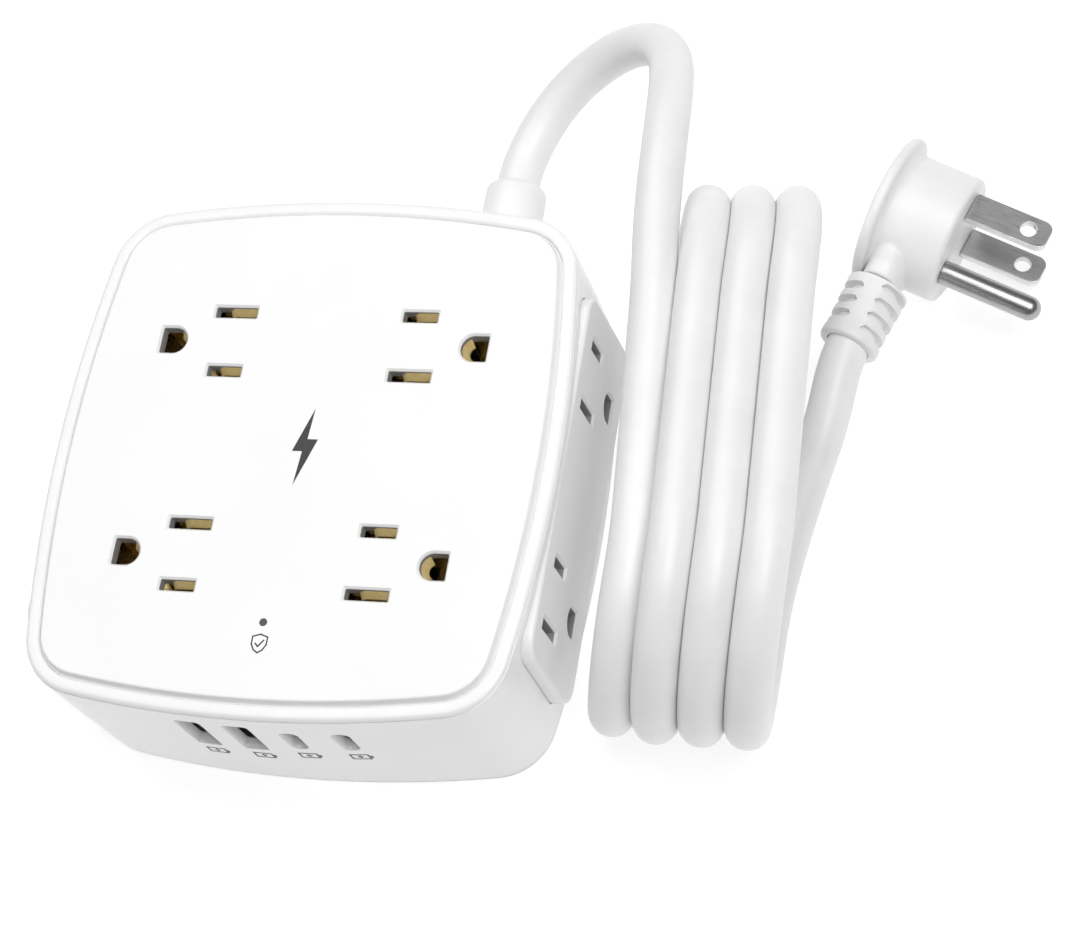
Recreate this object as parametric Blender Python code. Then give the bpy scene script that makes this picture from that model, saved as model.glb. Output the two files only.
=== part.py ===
"""A square desktop surge protector with its mains lead folded into a hank.

The box stands on four rubber feet. It has four grounded sockets on top, two on each side wall and four USB
ports in front. The lead leaves the back wall, is folded into a hank beside the box and ends in a flat plug.

Frame: +X to the right, +Y to the back, +Z up. The origin is on the table under the middle of the box.
Lengths are in metres.
"""

import math

import bmesh
import bpy
from mathutils import Matrix, Vector

MM = 0.001
GAP = 0.3 * MM

# Box
BOX_WIDTH = 103.0 * MM
BOX_DEPTH = 108.6 * MM
BOX_HEIGHT = 42.0 * MM
SIDE_BULGE_RADIUS = 280.0 * MM
FRONT_BULGE_RADIUS = 240.0 * MM
CORNER_RADIUS = 13.0 * MM
CORNER_STEPS = 7
BULGE_STEPS = 6
WALL = 2.2 * MM
RIM_TOP = 41.1 * MM
RIM_WIDTH = 2.9 * MM
LEDGE_Z = 39.0 * MM
LEDGE_WIDTH = 2.2 * MM
SHELL_BOTTOM = 4.0 * MM
FOOT_HEIGHT = 1.0 * MM
FOOT_RADIUS = 5.0 * MM
FOOT_X = 36.0 * MM
FOOT_Y = 31.0 * MM
BASE_BOTTOM = FOOT_HEIGHT + GAP
BASE_TOP = SHELL_BOTTOM - GAP
SCREW_X = 37.5 * MM
SCREW_Y = 39.5 * MM
SCREW_HEAD_RADIUS = 2.6 * MM
SCREW_RADIUS = 1.4 * MM
SCREW_TIP_Z = 16.0 * MM
BOSS_RADIUS = 3.4 * MM
BOSS_TOP = 28.0 * MM

# Grounded socket, in its own frame: X across the blades, Y away from the ground hole, Z out of the face
BLADE_SPACING = 12.7 * MM
GROUND_OFFSET = 11.98 * MM
NEUTRAL_SLOT = 9.57 * MM
HOT_SLOT = 7.99 * MM
SLOT_WIDTH = 3.1 * MM
SLOT_CHAMFER = 0.45 * MM
GROUND_RADIUS = 3.13 * MM
TOP_SOCKET_X = 19.15 * MM
SOCKET_Y = 22.46 * MM
TOP_PANEL_THICKNESS = 2.7 * MM
SIDE_PANEL_THICKNESS = 4.6 * MM
SIDE_PANEL_X = 51.3 * MM
SIDE_PANEL_LENGTH = 74.6 * MM
SIDE_PANEL_BOTTOM = 8.5 * MM
SIDE_PANEL_TOP = 37.6 * MM
SIDE_PANEL_CORNER = 4.5 * MM
SIDE_SOCKET_Z = 28.7 * MM

# Contacts: a folded brass clip under each hole, on a strip that joins them
CLIP_HEIGHT = 7.4 * MM
CLIP_SHEET = 0.6 * MM
CLIP_CLEAR = 0.6 * MM
STRIP_SHEET = 1.0 * MM
STRIP_WIDTH = 3.0 * MM
NEUTRAL_STRIP_Y = -5.85 * MM
HOT_STRIP_Y = 6.05 * MM
GROUND_STRIP_Y = -16.9 * MM

# USB ports in the front wall, long side upright
USB_Z = 29.0 * MM
USB_A_X = (-14.4 * MM, -4.6 * MM)
USB_C_X = (5.3 * MM, 15.6 * MM)
USB_A_MOUTH = (4.9 * MM, 13.2 * MM)
USB_C_MOUTH = (3.3 * MM, 9.0 * MM)
USB_DEPTH = 11.5 * MM
USB_FRONT_Y = -50.4 * MM
USB_BOARD_Y = -38.6 * MM

# Status light
LIGHT_Y = -35.4 * MM
LIGHT_RADIUS = 0.8 * MM

# Overload breaker in the back wall
BREAKER_X = -26.0 * MM
BREAKER_Z = 22.0 * MM
BREAKER_WALL_Y = 52.9 * MM
BUTTON_RADIUS = 3.2 * MM

# Lead
CORD = 8.6 * MM
GLAND_X = 25.6 * MM
GLAND_Z = 20.0 * MM
GLAND_TIP_Y = 68.5 * MM
GLAND_RADIUS = 6.2 * MM

# Hank: the lead goes round four times, and each fold is round about three lead diameters. HANK_FAR_X and
# HANK_NEAR_X are the middle of the four runs on top; a fold leans left by its LEAN on the way down.
FOLD_RADIUS = 3.0 * CORD
HANK_RUNS = 4
HANK_PITCH = 8.7 * MM
HANK_FAR_X = 82.0 * MM
HANK_NEAR_X = 84.5 * MM
HANK_NEAR_Y = -18.7 * MM
HANK_FAR_Y = 30.7 * MM
HANK_NEAR_LEAN = 12.0 * MM
HANK_FAR_LEAN = 18.0 * MM
FOLD_STEPS = 9

# The first turn runs a little lower than the other three, beside them, down to the floor at the near end
FIRST_FOLD_REACH = 24.3 * MM
FIRST_FOLD_HALF_HEIGHT = 23.4 * MM
FIRST_TURN_DROP = 4.4 * MM

# Plug, in its own frame: X along the blades, Y towards the ground pin and the lead, Z from blade to blade
PLUG_PLACE = Vector((116.5 * MM, 66.1 * MM, 12.4 * MM))
PLUG_YAW = math.radians(-19.0)
PLUG_PITCH = math.radians(10.3)
PLUG_ROLL = math.radians(2.5)
PLUG_RADIUS = 12.8 * MM
PLUG_DEPTH = 13.8 * MM
PLUG_CENTRE = 4.0 * MM
PLUG_CAP_RADIUS = 15.5 * MM
PLUG_CAP_THICKNESS = 2.7 * MM
BLADE = (16.3 * MM, 6.35 * MM, 1.52 * MM)
BLADE_HOLE = 12.0 * MM
GROUND_PIN_RADIUS = 2.38 * MM
GROUND_PIN_LENGTH = 20.5 * MM
PIN_OFFSET = 11.89 * MM
CONTACT_TURN = Matrix.Rotation(math.radians(-6.5), 4, "X")
RELIEF_X = -9.9 * MM
RELIEF_START = 13.2 * MM
RELIEF_SHOULDER = 19.9 * MM
RELIEF_END = 33.4 * MM
RELIEF_ROOT_RADIUS = 2.9 * MM
NECK_HALF = 3.8 * MM

WHITE_GLOSS = ((0.90, 0.90, 0.91), 0.22, 0.0)
WHITE_SATIN = ((0.86, 0.86, 0.87), 0.38, 0.0)
WHITE_PVC = ((0.85, 0.85, 0.86), 0.42, 0.0)
BRASS = ((0.72, 0.52, 0.20), 0.30, 1.0)
NICKEL = ((0.62, 0.61, 0.60), 0.28, 1.0)
STEEL = ((0.55, 0.56, 0.57), 0.32, 1.0)
BLACK_PLASTIC = ((0.03, 0.03, 0.03), 0.45, 0.0)
RUBBER = ((0.05, 0.05, 0.05), 0.75, 0.0)
BOARD = ((0.05, 0.22, 0.10), 0.50, 0.0)
CERAMIC = ((0.10, 0.22, 0.62), 0.40, 0.0)
YELLOW = ((0.80, 0.62, 0.10), 0.50, 0.0)
CLEAR = ((0.85, 0.90, 0.86), 0.15, 0.0)
GREEN = ((0.15, 0.60, 0.20), 0.35, 0.0)


# ---------------------------------------------------------------- helpers

def clear_scene():
    for obj in list(bpy.data.objects):
        bpy.data.objects.remove(obj, do_unlink=True)


def four_corners(x, y):
    """The same place in each quarter of the box."""
    return [(-x, -y), (x, -y), (-x, y), (x, y)]


def material(name, finish):
    made = bpy.data.materials.new(name)
    made.use_nodes = True
    shader = made.node_tree.nodes["Principled BSDF"]
    colour, roughness, metallic = finish
    shader.inputs["Base Color"].default_value = (*colour, 1.0)
    shader.inputs["Roughness"].default_value = roughness
    shader.inputs["Metallic"].default_value = metallic
    return made


def add_object(name, bm, finish, parent=None, sharp=35.0):
    bmesh.ops.remove_doubles(bm, verts=bm.verts, dist=0.001 * MM)
    bmesh.ops.recalc_face_normals(bm, faces=bm.faces)
    mesh = bpy.data.meshes.new(name)
    bm.to_mesh(mesh)
    bm.free()
    mesh.shade_smooth()
    mesh.set_sharp_from_angle(angle=math.radians(sharp))
    obj = bpy.data.objects.new(name, mesh)
    bpy.context.collection.objects.link(obj)
    if finish is not None:
        mesh.materials.append(material(name, finish))
    obj.parent = parent
    return obj


def combine(target, bm, operation="DIFFERENCE"):
    """Cuts the bodies in bm out of target, or joins them to it."""
    tool = add_object(f"{target.name}_{operation.lower()}_tool", bm, None, parent=target.parent)
    tool.hide_render = True
    tool.display_type = "WIRE"
    modifier = target.modifiers.new(operation.title(), "BOOLEAN")
    modifier.operation = operation
    modifier.solver = "EXACT"
    modifier.use_self = True
    modifier.object = tool


def loft(bm, rings, closed=False):
    """Skins rings of equal length. Closed joins the last ring to the first instead of capping both ends."""
    rows = [[bm.verts.new(point) for point in ring] for ring in rings]
    pairs = list(zip(rows, rows[1:]))
    if closed:
        pairs.append((rows[-1], rows[0]))
    for low, high in pairs:
        for i, vert in enumerate(low):
            j = (i + 1) % len(low)
            bm.faces.new((vert, low[j], high[j], high[i]))
    if not closed:
        bm.faces.new(list(reversed(rows[0])))
        bm.faces.new(rows[-1])


def block(bm, low, high, place=Matrix()):
    """A box between two corners."""
    rings = []
    for z in (low[2], high[2]):
        corners = ((low[0], low[1]), (high[0], low[1]), (high[0], high[1]), (low[0], high[1]))
        rings.append([place @ Vector((x, y, z)) for x, y in corners])
    loft(bm, rings)


def turned(bm, profile, place=Matrix(), steps=24, closed=False):
    """A solid of revolution about the local Z axis, from (radius, height) pairs. Closed makes a ring."""
    rings = []
    for radius, height in profile:
        ring = []
        for i in range(steps):
            angle = 2.0 * math.pi * i / steps
            ring.append(place @ Vector((radius * math.cos(angle), radius * math.sin(angle), height)))
        rings.append(ring)
    loft(bm, rings, closed)


def axes(origin, x_axis, y_axis, z_axis):
    """The matrix that carries a local frame to the given origin and axes."""
    rows = Matrix((x_axis, y_axis, z_axis)).transposed().to_4x4()
    return Matrix.Translation(origin) @ rows


def upright(x, y):
    return Matrix.Translation((x, y, 0.0))


def backward(x, z, y=0.0):
    """A local frame whose Z axis points to the back."""
    return axes((x, y, z), (1.0, 0.0, 0.0), (0.0, 0.0, -1.0), (0.0, 1.0, 0.0))


def tube(name, points, radius, finish, resolution=2):
    curve = bpy.data.curves.new(name, "CURVE")
    curve.dimensions = "3D"
    curve.bevel_depth = radius
    curve.bevel_resolution = resolution
    curve.use_fill_caps = True
    spline = curve.splines.new("POLY")
    spline.points.add(len(points) - 1)
    for slot, point in zip(spline.points, points):
        slot.co = (*point, 1.0)
    obj = bpy.data.objects.new(name, curve)
    bpy.context.collection.objects.link(obj)
    curve.materials.append(material(name, finish))
    return obj


def smooth_route(points, spacing):
    """Points at an even spacing along the smooth curve that passes through the given ones."""
    knots = [Vector(p) for p in points]
    knots = [2.0 * knots[0] - knots[1], *knots, 2.0 * knots[-1] - knots[-2]]
    fine = []
    for a, b, c, d in zip(knots, knots[1:], knots[2:], knots[3:]):
        for i in range(16):
            t = i / 16.0
            fine.append(0.5 * (2.0 * b + (c - a) * t + (2.0 * a - 5.0 * b + 4.0 * c - d) * t * t
                               + (3.0 * b - a - 3.0 * c + d) * t ** 3))
    fine.append(knots[-2])
    lengths = [0.0]
    for a, b in zip(fine, fine[1:]):
        lengths.append(lengths[-1] + (b - a).length)
    count = max(2, round(lengths[-1] / spacing))
    route = []
    step = 0
    for i in range(count + 1):
        at = lengths[-1] * i / count
        while step < len(fine) - 2 and lengths[step + 1] < at:
            step += 1
        share = (at - lengths[step]) / (lengths[step + 1] - lengths[step])
        route.append(fine[step].lerp(fine[step + 1], min(share, 1.0)))
    return route


# ---------------------------------------------------------------- box outline

def corner_centre(width, depth):
    """Centre of the corner arc that touches both bulged sides of an outline from inside."""
    side = Vector((width - SIDE_BULGE_RADIUS, 0.0))
    front = Vector((0.0, depth - FRONT_BULGE_RADIUS))
    side_reach = SIDE_BULGE_RADIUS - CORNER_RADIUS
    front_reach = FRONT_BULGE_RADIUS - CORNER_RADIUS
    across = front - side
    span = across.length
    along = (span ** 2 + side_reach ** 2 - front_reach ** 2) / (2.0 * span)
    rise = math.sqrt(side_reach ** 2 - along ** 2)
    unit = across / span
    return side + unit * along + Vector((-unit.y, unit.x)) * rise


def arc(centre, radius, start, end, steps):
    for i in range(steps + 1):
        angle = start + (end - start) * i / steps
        yield Vector((centre[0] + radius * math.cos(angle), centre[1] + radius * math.sin(angle)))


def outline(inset, z):
    """The box's rounded outline, moved inwards, at height z."""
    half_width = BOX_WIDTH / 2.0
    half_depth = BOX_DEPTH / 2.0
    corner = corner_centre(half_width, half_depth)
    side = Vector((half_width - SIDE_BULGE_RADIUS, 0.0))
    front = Vector((0.0, half_depth - FRONT_BULGE_RADIUS))
    side_end = math.atan2(corner.y - side.y, corner.x - side.x)
    front_end = math.atan2(corner.y - front.y, corner.x - front.x)
    quarter = list(arc(side, SIDE_BULGE_RADIUS - inset, 0.0, side_end, BULGE_STEPS // 2))[:-1]
    quarter += list(arc(corner, CORNER_RADIUS - inset, side_end, front_end, CORNER_STEPS))
    quarter += list(arc(front, FRONT_BULGE_RADIUS - inset, front_end, math.pi / 2.0, BULGE_STEPS // 2))[1:]
    half = quarter + [Vector((-p.x, p.y)) for p in reversed(quarter[:-1])]
    whole = half + [Vector((p.x, -p.y)) for p in reversed(half[1:-1])]
    return [Vector((p.x, p.y, z)) for p in whole]


def wall_y(x, inset=0.0):
    """How far back the back wall is at x."""
    return BOX_DEPTH / 2.0 - FRONT_BULGE_RADIUS + math.sqrt((FRONT_BULGE_RADIUS - inset) ** 2 - x * x)


def draft(z):
    """How far the outer wall has drawn in at height z."""
    return 1.3 * MM * ((RIM_TOP - z) / (RIM_TOP - SHELL_BOTTOM)) ** 1.4


# ---------------------------------------------------------------- sockets

def top_places():
    """Frames of the four sockets in the top: the ground holes face the side walls."""
    found = []
    for side in (-1.0, 1.0):
        for back in (1.0, -1.0):
            origin = Vector((side * TOP_SOCKET_X, back * SOCKET_Y, BOX_HEIGHT))
            found.append(axes(origin, (0.0, side, 0.0), (-side, 0.0, 0.0), (0.0, 0.0, 1.0)))
    return found


def side_places(side):
    """Frames of the two sockets in a side wall: the ground holes are at the bottom."""
    found = []
    for back in (1.0, -1.0):
        origin = Vector((side * SIDE_PANEL_X, back * SOCKET_Y, SIDE_SOCKET_Z))
        found.append(axes(origin, (0.0, side, 0.0), (0.0, 0.0, 1.0), (side, 0.0, 0.0)))
    return found


def slot_ring(centre_x, length, width, z):
    x, y = width / 2.0, length / 2.0
    return [Vector((centre_x + dx, dy, z)) for dx, dy in ((-x, -y), (x, -y), (x, y), (-x, y))]


def ground_ring(shrink, z):
    """A D: its flat side is away from the blades."""
    radius = GROUND_RADIUS - shrink
    flat = -(GROUND_OFFSET + GROUND_RADIUS - shrink)
    ring = [Vector((-radius, flat, z)), Vector((radius, flat, z))]
    ring += [Vector((p.x, p.y, z)) for p in arc((0.0, -GROUND_OFFSET), radius, 0.0, math.pi, 8)]
    return ring


def cut_socket(bm, place, thickness):
    """Cutters for one socket's three chamfered holes."""
    depths = ((0.5 * MM, 0.0), (0.0, 0.0), (-1.0 * MM, SLOT_CHAMFER), (-thickness - 0.5 * MM, SLOT_CHAMFER))
    for centre, length in ((-BLADE_SPACING / 2.0, NEUTRAL_SLOT), (BLADE_SPACING / 2.0, HOT_SLOT)):
        rings = [slot_ring(centre, length - 2.0 * c, SLOT_WIDTH - 2.0 * c, z) for z, c in depths]
        loft(bm, [[place @ p for p in ring] for ring in rings])
    rings = [ground_ring(c, z) for z, c in depths]
    loft(bm, [[place @ p for p in ring] for ring in rings])


def clip(bm, place, x, y, length, half_gap, thickness, strip_y):
    """One folded clip: two upright leaves on a base that runs out to the strip."""
    top = -thickness - CLIP_CLEAR
    bottom = top - CLIP_HEIGHT
    for side in (-1.0, 1.0):
        inner = x + side * half_gap
        outer = x + side * (half_gap + CLIP_SHEET)
        low = (min(inner, outer), y - length / 2.0, bottom)
        high = (max(inner, outer), y + length / 2.0, top)
        block(bm, low, high, place)
    reach = half_gap + CLIP_SHEET + 0.1 * MM
    low_y = min(y - length / 2.0, strip_y - 0.4 * STRIP_WIDTH)
    high_y = max(y + length / 2.0, strip_y + 0.4 * STRIP_WIDTH)
    block(bm, (x - reach, low_y, bottom - 0.6 * MM), (x + reach, high_y, bottom + 0.2 * MM), place)


def strip_z(thickness):
    """Local height of the underside of the strips."""
    return -thickness - CLIP_CLEAR - CLIP_HEIGHT - 0.7 * MM


ROLES = {
    "neutral": (-BLADE_SPACING / 2.0, 0.0, 7.4 * MM, 0.95 * MM, NEUTRAL_STRIP_Y),
    "hot": (BLADE_SPACING / 2.0, 0.0, 6.2 * MM, 0.95 * MM, HOT_STRIP_Y),
    "ground": (0.0, -GROUND_OFFSET, 4.6 * MM, 2.75 * MM, GROUND_STRIP_Y),
}


def bus(name, role, places, thickness, strips):
    """A brass bus: one clip per socket, joined by strips given as pairs of world corners."""
    x, y, length, half_gap, strip_y = ROLES[role]
    first = bmesh.new()
    block(first, *strips[0])
    obj = add_object(name, first, BRASS)
    rest = bmesh.new()
    for low, high in strips[1:]:
        block(rest, low, high)
    for place in places:
        clip(rest, place, x, y, length, half_gap, thickness, strip_y)
    combine(obj, rest, "UNION")


def top_bus(role, link_y):
    """Two strips along the box, one under each column of sockets, and a strip across that links them."""
    strip_x = TOP_SOCKET_X - ROLES[role][4]
    half = STRIP_WIDTH / 2.0
    low_z = BOX_HEIGHT + strip_z(TOP_PANEL_THICKNESS)
    high_z = low_z + STRIP_SHEET
    front = -31.5 * MM
    back = max(link_y + half, -front)
    strips = []
    for side in (-1.0, 1.0):
        middle = side * strip_x
        strips.append(((middle - half, front, low_z), (middle + half, back, high_z)))
    edge = strip_x + 0.8 * half
    link = (link_y - 0.8 * half, link_y + 0.8 * half)
    strips.append(((-edge, link[0], low_z + 0.1 * MM), (edge, link[1], high_z - 0.1 * MM)))
    bus(f"{role}_bus_top", role, top_places(), TOP_PANEL_THICKNESS, strips)


def side_bus(role, side, side_name):
    """One upright strip along the side wall."""
    depth = strip_z(SIDE_PANEL_THICKNESS)
    xs = sorted((side * (SIDE_PANEL_X + depth), side * (SIDE_PANEL_X + depth + STRIP_SHEET)))
    middle = SIDE_SOCKET_Z + ROLES[role][4]
    half = STRIP_WIDTH / 2.0
    reach = SOCKET_Y + BLADE_SPACING / 2.0 + 1.0 * MM
    strips = [((xs[0], -reach, middle - half), (xs[1], reach, middle + half))]
    bus(f"{role}_bus_{side_name}", role, side_places(side), SIDE_PANEL_THICKNESS, strips)


# ---------------------------------------------------------------- housing

def panel_outline(grow, x):
    """The side panel's rounded outline in the plane at x."""
    half = SIDE_PANEL_LENGTH / 2.0 + grow
    bottom = SIDE_PANEL_BOTTOM - grow
    top = SIDE_PANEL_TOP + grow
    radius = SIDE_PANEL_CORNER + grow
    ring = []
    corners = ((half, top, 0.0), (-half, top, 0.5), (-half, bottom, 1.0), (half, bottom, 1.5))
    for y, z, turn in corners:
        centre = (y - math.copysign(radius, y), z - radius if z == top else z + radius)
        start = turn * math.pi
        ring += [Vector((x, p.x, p.y)) for p in arc(centre, radius, start, start + math.pi / 2.0, 4)]
    return ring


def make_body_shell():
    heights = (SHELL_BOTTOM, 12.0 * MM, 22.0 * MM, 32.0 * MM, 38.6 * MM)
    profile = [(draft(z), z) for z in heights]
    profile += [(0.25 * MM, 40.0 * MM), (0.85 * MM, 40.8 * MM), (1.7 * MM, RIM_TOP), (RIM_WIDTH, RIM_TOP)]
    ledge = RIM_WIDTH + LEDGE_WIDTH
    profile += [(RIM_WIDTH, LEDGE_Z), (ledge, LEDGE_Z), (ledge, 37.2 * MM)]
    profile += [(draft(36.0 * MM) + WALL, 36.0 * MM), (draft(SHELL_BOTTOM) + WALL, SHELL_BOTTOM)]
    bm = bmesh.new()
    loft(bm, [outline(inset, z) for inset, z in profile], closed=True)
    shell = add_object("body_shell", bm, WHITE_GLOSS)
    bosses = bmesh.new()
    for x, y in four_corners(SCREW_X, SCREW_Y):
        corner = Vector((math.copysign(43.2 * MM, x), math.copysign(45.9 * MM, y)))
        turned(bosses, [(BOSS_RADIUS, 8.0 * MM), (BOSS_RADIUS, BOSS_TOP)], upright(x, y), 16)
        across = (corner - Vector((x, y))).normalized()
        aside = Vector((-across.y, across.x)) * 1.1 * MM
        web = [Vector((x, y)) - aside, Vector((x, y)) + aside, corner + aside, corner - aside]
        loft(bosses, [[Vector((p.x, p.y, z)) for p in web] for z in (10.0 * MM, BOSS_TOP - 0.5 * MM)])
    combine(shell, bosses, "UNION")
    cuts = bmesh.new()
    for x, y in four_corners(SCREW_X, SCREW_Y):
        hole = [(SCREW_RADIUS + GAP, 6.0 * MM), (SCREW_RADIUS + GAP, SCREW_TIP_Z + 1.0 * MM)]
        turned(cuts, hole, upright(x, y), 12)
    for side in (-1.0, 1.0):
        rings = [panel_outline(GAP, side * 44.0 * MM), panel_outline(GAP, side * 53.0 * MM)]
        loft(cuts, rings)
    for mouth, places in ((USB_A_MOUTH, USB_A_X), (USB_C_MOUTH, USB_C_X)):
        for x in places:
            usb_hole(cuts, x, mouth)
    gland_hole = [(GLAND_RADIUS - 0.8 * MM, 48.0 * MM), (GLAND_RADIUS - 0.8 * MM, 56.0 * MM)]
    turned(cuts, gland_hole, backward(GLAND_X, GLAND_Z))
    breaker_hole = [(BUTTON_RADIUS + 1.6 * MM, 46.0 * MM), (BUTTON_RADIUS + 1.6 * MM, 56.0 * MM)]
    turned(cuts, breaker_hole, backward(BREAKER_X, BREAKER_Z))
    combine(shell, cuts)


def rounded_slot(x, half_x, half_z, radius, y):
    ring = []
    corners = ((1.0, 1.0, 0.0), (-1.0, 1.0, 0.5), (-1.0, -1.0, 1.0), (1.0, -1.0, 1.5))
    for sx, sz, turn in corners:
        centre = (x + sx * (half_x - radius), USB_Z + sz * (half_z - radius))
        start = turn * math.pi
        ring += [Vector((p.x, y, p.y)) for p in arc(centre, radius, start, start + math.pi / 2.0, 3)]
    return ring


def usb_hole(bm, x, mouth):
    """A cutter through the front wall, with a chamfered mouth."""
    half_x, half_z = mouth[0] / 2.0, mouth[1] / 2.0
    radius = 0.6 * MM if mouth is USB_A_MOUTH else half_x - 0.1 * MM
    face = -wall_y(x, draft(USB_Z))
    stations = [(face - 1.0 * MM, 0.6 * MM), (face, 0.35 * MM)]
    stations += [(face + 0.6 * MM, 0.0), (face + 4.0 * MM, 0.0)]
    loft(bm, [rounded_slot(x, half_x + c, half_z + c, radius + c, y) for y, c in stations])


def make_top_panel():
    under = BOX_HEIGHT - TOP_PANEL_THICKNESS
    inset = RIM_WIDTH + GAP
    profile = [(inset, under), (inset, 41.3 * MM), (inset + 0.25 * MM, 41.7 * MM)]
    profile += [(inset + 0.7 * MM, 41.93 * MM), (inset + 1.3 * MM, BOX_HEIGHT)]
    bm = bmesh.new()
    loft(bm, [outline(edge, z) for edge, z in profile])
    panel = add_object("top_panel", bm, WHITE_GLOSS)
    cuts = bmesh.new()
    for place in top_places():
        cut_socket(cuts, place, TOP_PANEL_THICKNESS)
    hole = [(LIGHT_RADIUS + 0.1 * MM, under - 1.0 * MM), (LIGHT_RADIUS + 0.1 * MM, BOX_HEIGHT + 1.0 * MM)]
    turned(cuts, hole, upright(0.0, LIGHT_Y), 12)
    combine(panel, cuts)


def make_side_panel(side, name):
    bm = bmesh.new()
    stations = [(SIDE_PANEL_X - SIDE_PANEL_THICKNESS, 0.0), (SIDE_PANEL_X - 0.5 * MM, 0.0)]
    stations += [(SIDE_PANEL_X, -0.5 * MM)]
    loft(bm, [panel_outline(grow, side * x) for x, grow in stations])
    panel = add_object(name, bm, WHITE_GLOSS)
    cuts = bmesh.new()
    for place in side_places(side):
        cut_socket(cuts, place, SIDE_PANEL_THICKNESS)
    combine(panel, cuts)


def make_base_cover():
    edge = draft(SHELL_BOTTOM)
    lip = edge + WALL + GAP
    profile = [(5.0 * MM, BASE_BOTTOM), (3.4 * MM, 1.75 * MM), (2.2 * MM, 2.6 * MM), (edge, BASE_TOP)]
    profile += [(lip, BASE_TOP), (lip, 6.5 * MM), (lip + 1.5 * MM, 6.5 * MM), (lip + 1.5 * MM, 3.5 * MM)]
    bm = bmesh.new()
    loft(bm, [outline(inset, z) for inset, z in profile])
    cover = add_object("base_cover", bm, WHITE_SATIN)
    posts = bmesh.new()
    for x, y in four_corners(SCREW_X, SCREW_Y):
        turned(posts, [(4.4 * MM, 2.6 * MM), (4.4 * MM, 7.6 * MM)], upright(x, y), 16)
    combine(cover, posts, "UNION")
    cuts = bmesh.new()
    head = SCREW_HEAD_RADIUS + GAP
    shank = SCREW_RADIUS + GAP
    for x, y in four_corners(SCREW_X, SCREW_Y):
        turned(cuts, [(head, 0.5 * MM), (head, 4.6 * MM)], upright(x, y), 16)
        turned(cuts, [(shank, 4.0 * MM), (shank, 8.5 * MM)], upright(x, y), 16)
    combine(cover, cuts)


def make_feet_and_screws():
    for i, (x, y) in enumerate(four_corners(FOOT_X, FOOT_Y), 1):
        bm = bmesh.new()
        profile = [(FOOT_RADIUS - 0.5 * MM, 0.0), (FOOT_RADIUS, 0.4 * MM), (FOOT_RADIUS, FOOT_HEIGHT)]
        turned(bm, profile, upright(x, y), 20)
        add_object(f"rubber_foot_{i}", bm, RUBBER)
    for i, (x, y) in enumerate(four_corners(SCREW_X, SCREW_Y), 1):
        bm = bmesh.new()
        profile = [(SCREW_HEAD_RADIUS - 0.4 * MM, 2.6 * MM), (SCREW_HEAD_RADIUS, 3.0 * MM)]
        profile += [(SCREW_HEAD_RADIUS, 4.2 * MM), (SCREW_RADIUS, 4.2 * MM), (SCREW_RADIUS, 15.0 * MM)]
        profile += [(0.4 * MM, SCREW_TIP_Z)]
        turned(bm, profile, upright(x, y), 12)
        add_object(f"case_screw_{i}", bm, STEEL)


# ---------------------------------------------------------------- electronics

TO_RIGHT = ((0.0, 1.0, 0.0), (0.0, 0.0, 1.0), (1.0, 0.0, 0.0))
BOARD_Z = 10.0 * MM
BOARD_TOP = BOARD_Z + 1.6 * MM
MOV_Y = (2.0 * MM, 8.5 * MM, 15.0 * MM)


def simple_block(name, low, high, finish, bevel=0.0):
    bm = bmesh.new()
    block(bm, low, high)
    obj = add_object(name, bm, finish)
    if bevel:
        modifier = obj.modifiers.new("Bevel", "BEVEL")
        modifier.width = bevel
        modifier.segments = 2
    return obj


def make_surge_board():
    simple_block("surge_board", (-34.0 * MM, -28.0 * MM, BOARD_Z), (20.0 * MM, 22.0 * MM, BOARD_TOP), BOARD)
    for i, y in enumerate(MOV_Y, 1):
        bm = bmesh.new()
        standing = backward(4.0 * MM, BOARD_TOP + 7.3 * MM, y)
        profile = [(6.3 * MM, -2.0 * MM), (7.0 * MM, -1.4 * MM), (7.0 * MM, 1.4 * MM), (6.3 * MM, 2.0 * MM)]
        turned(bm, profile, standing, 20)
        add_object(f"varistor_{i}", bm, CERAMIC)
    bm = bmesh.new()
    lying = axes((-12.0 * MM, 8.0 * MM, BOARD_TOP + 2.4 * MM), *TO_RIGHT)
    profile = [(1.4 * MM, -6.0 * MM), (2.1 * MM, -5.2 * MM), (2.1 * MM, 5.2 * MM), (1.4 * MM, 6.0 * MM)]
    turned(bm, profile, lying, 16)
    add_object("thermal_fuse", bm, YELLOW)
    low = BOARD_TOP + GAP
    transformer = ((-30.0 * MM, -24.0 * MM, low), (-14.0 * MM, -10.0 * MM, low + 13.0 * MM))
    simple_block("usb_transformer", *transformer, YELLOW, 0.8 * MM)
    for i, y in enumerate((-22.0 * MM, -11.5 * MM), 1):
        bm = bmesh.new()
        profile = [(4.4 * MM, 0.0), (4.8 * MM, 0.4 * MM), (4.8 * MM, 13.0 * MM), (4.3 * MM, 13.5 * MM)]
        turned(bm, profile, upright(-3.0 * MM, y) @ Matrix.Translation((0.0, 0.0, low)), 20)
        add_object(f"usb_capacitor_{i}", bm, BLACK_PLASTIC)


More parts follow.
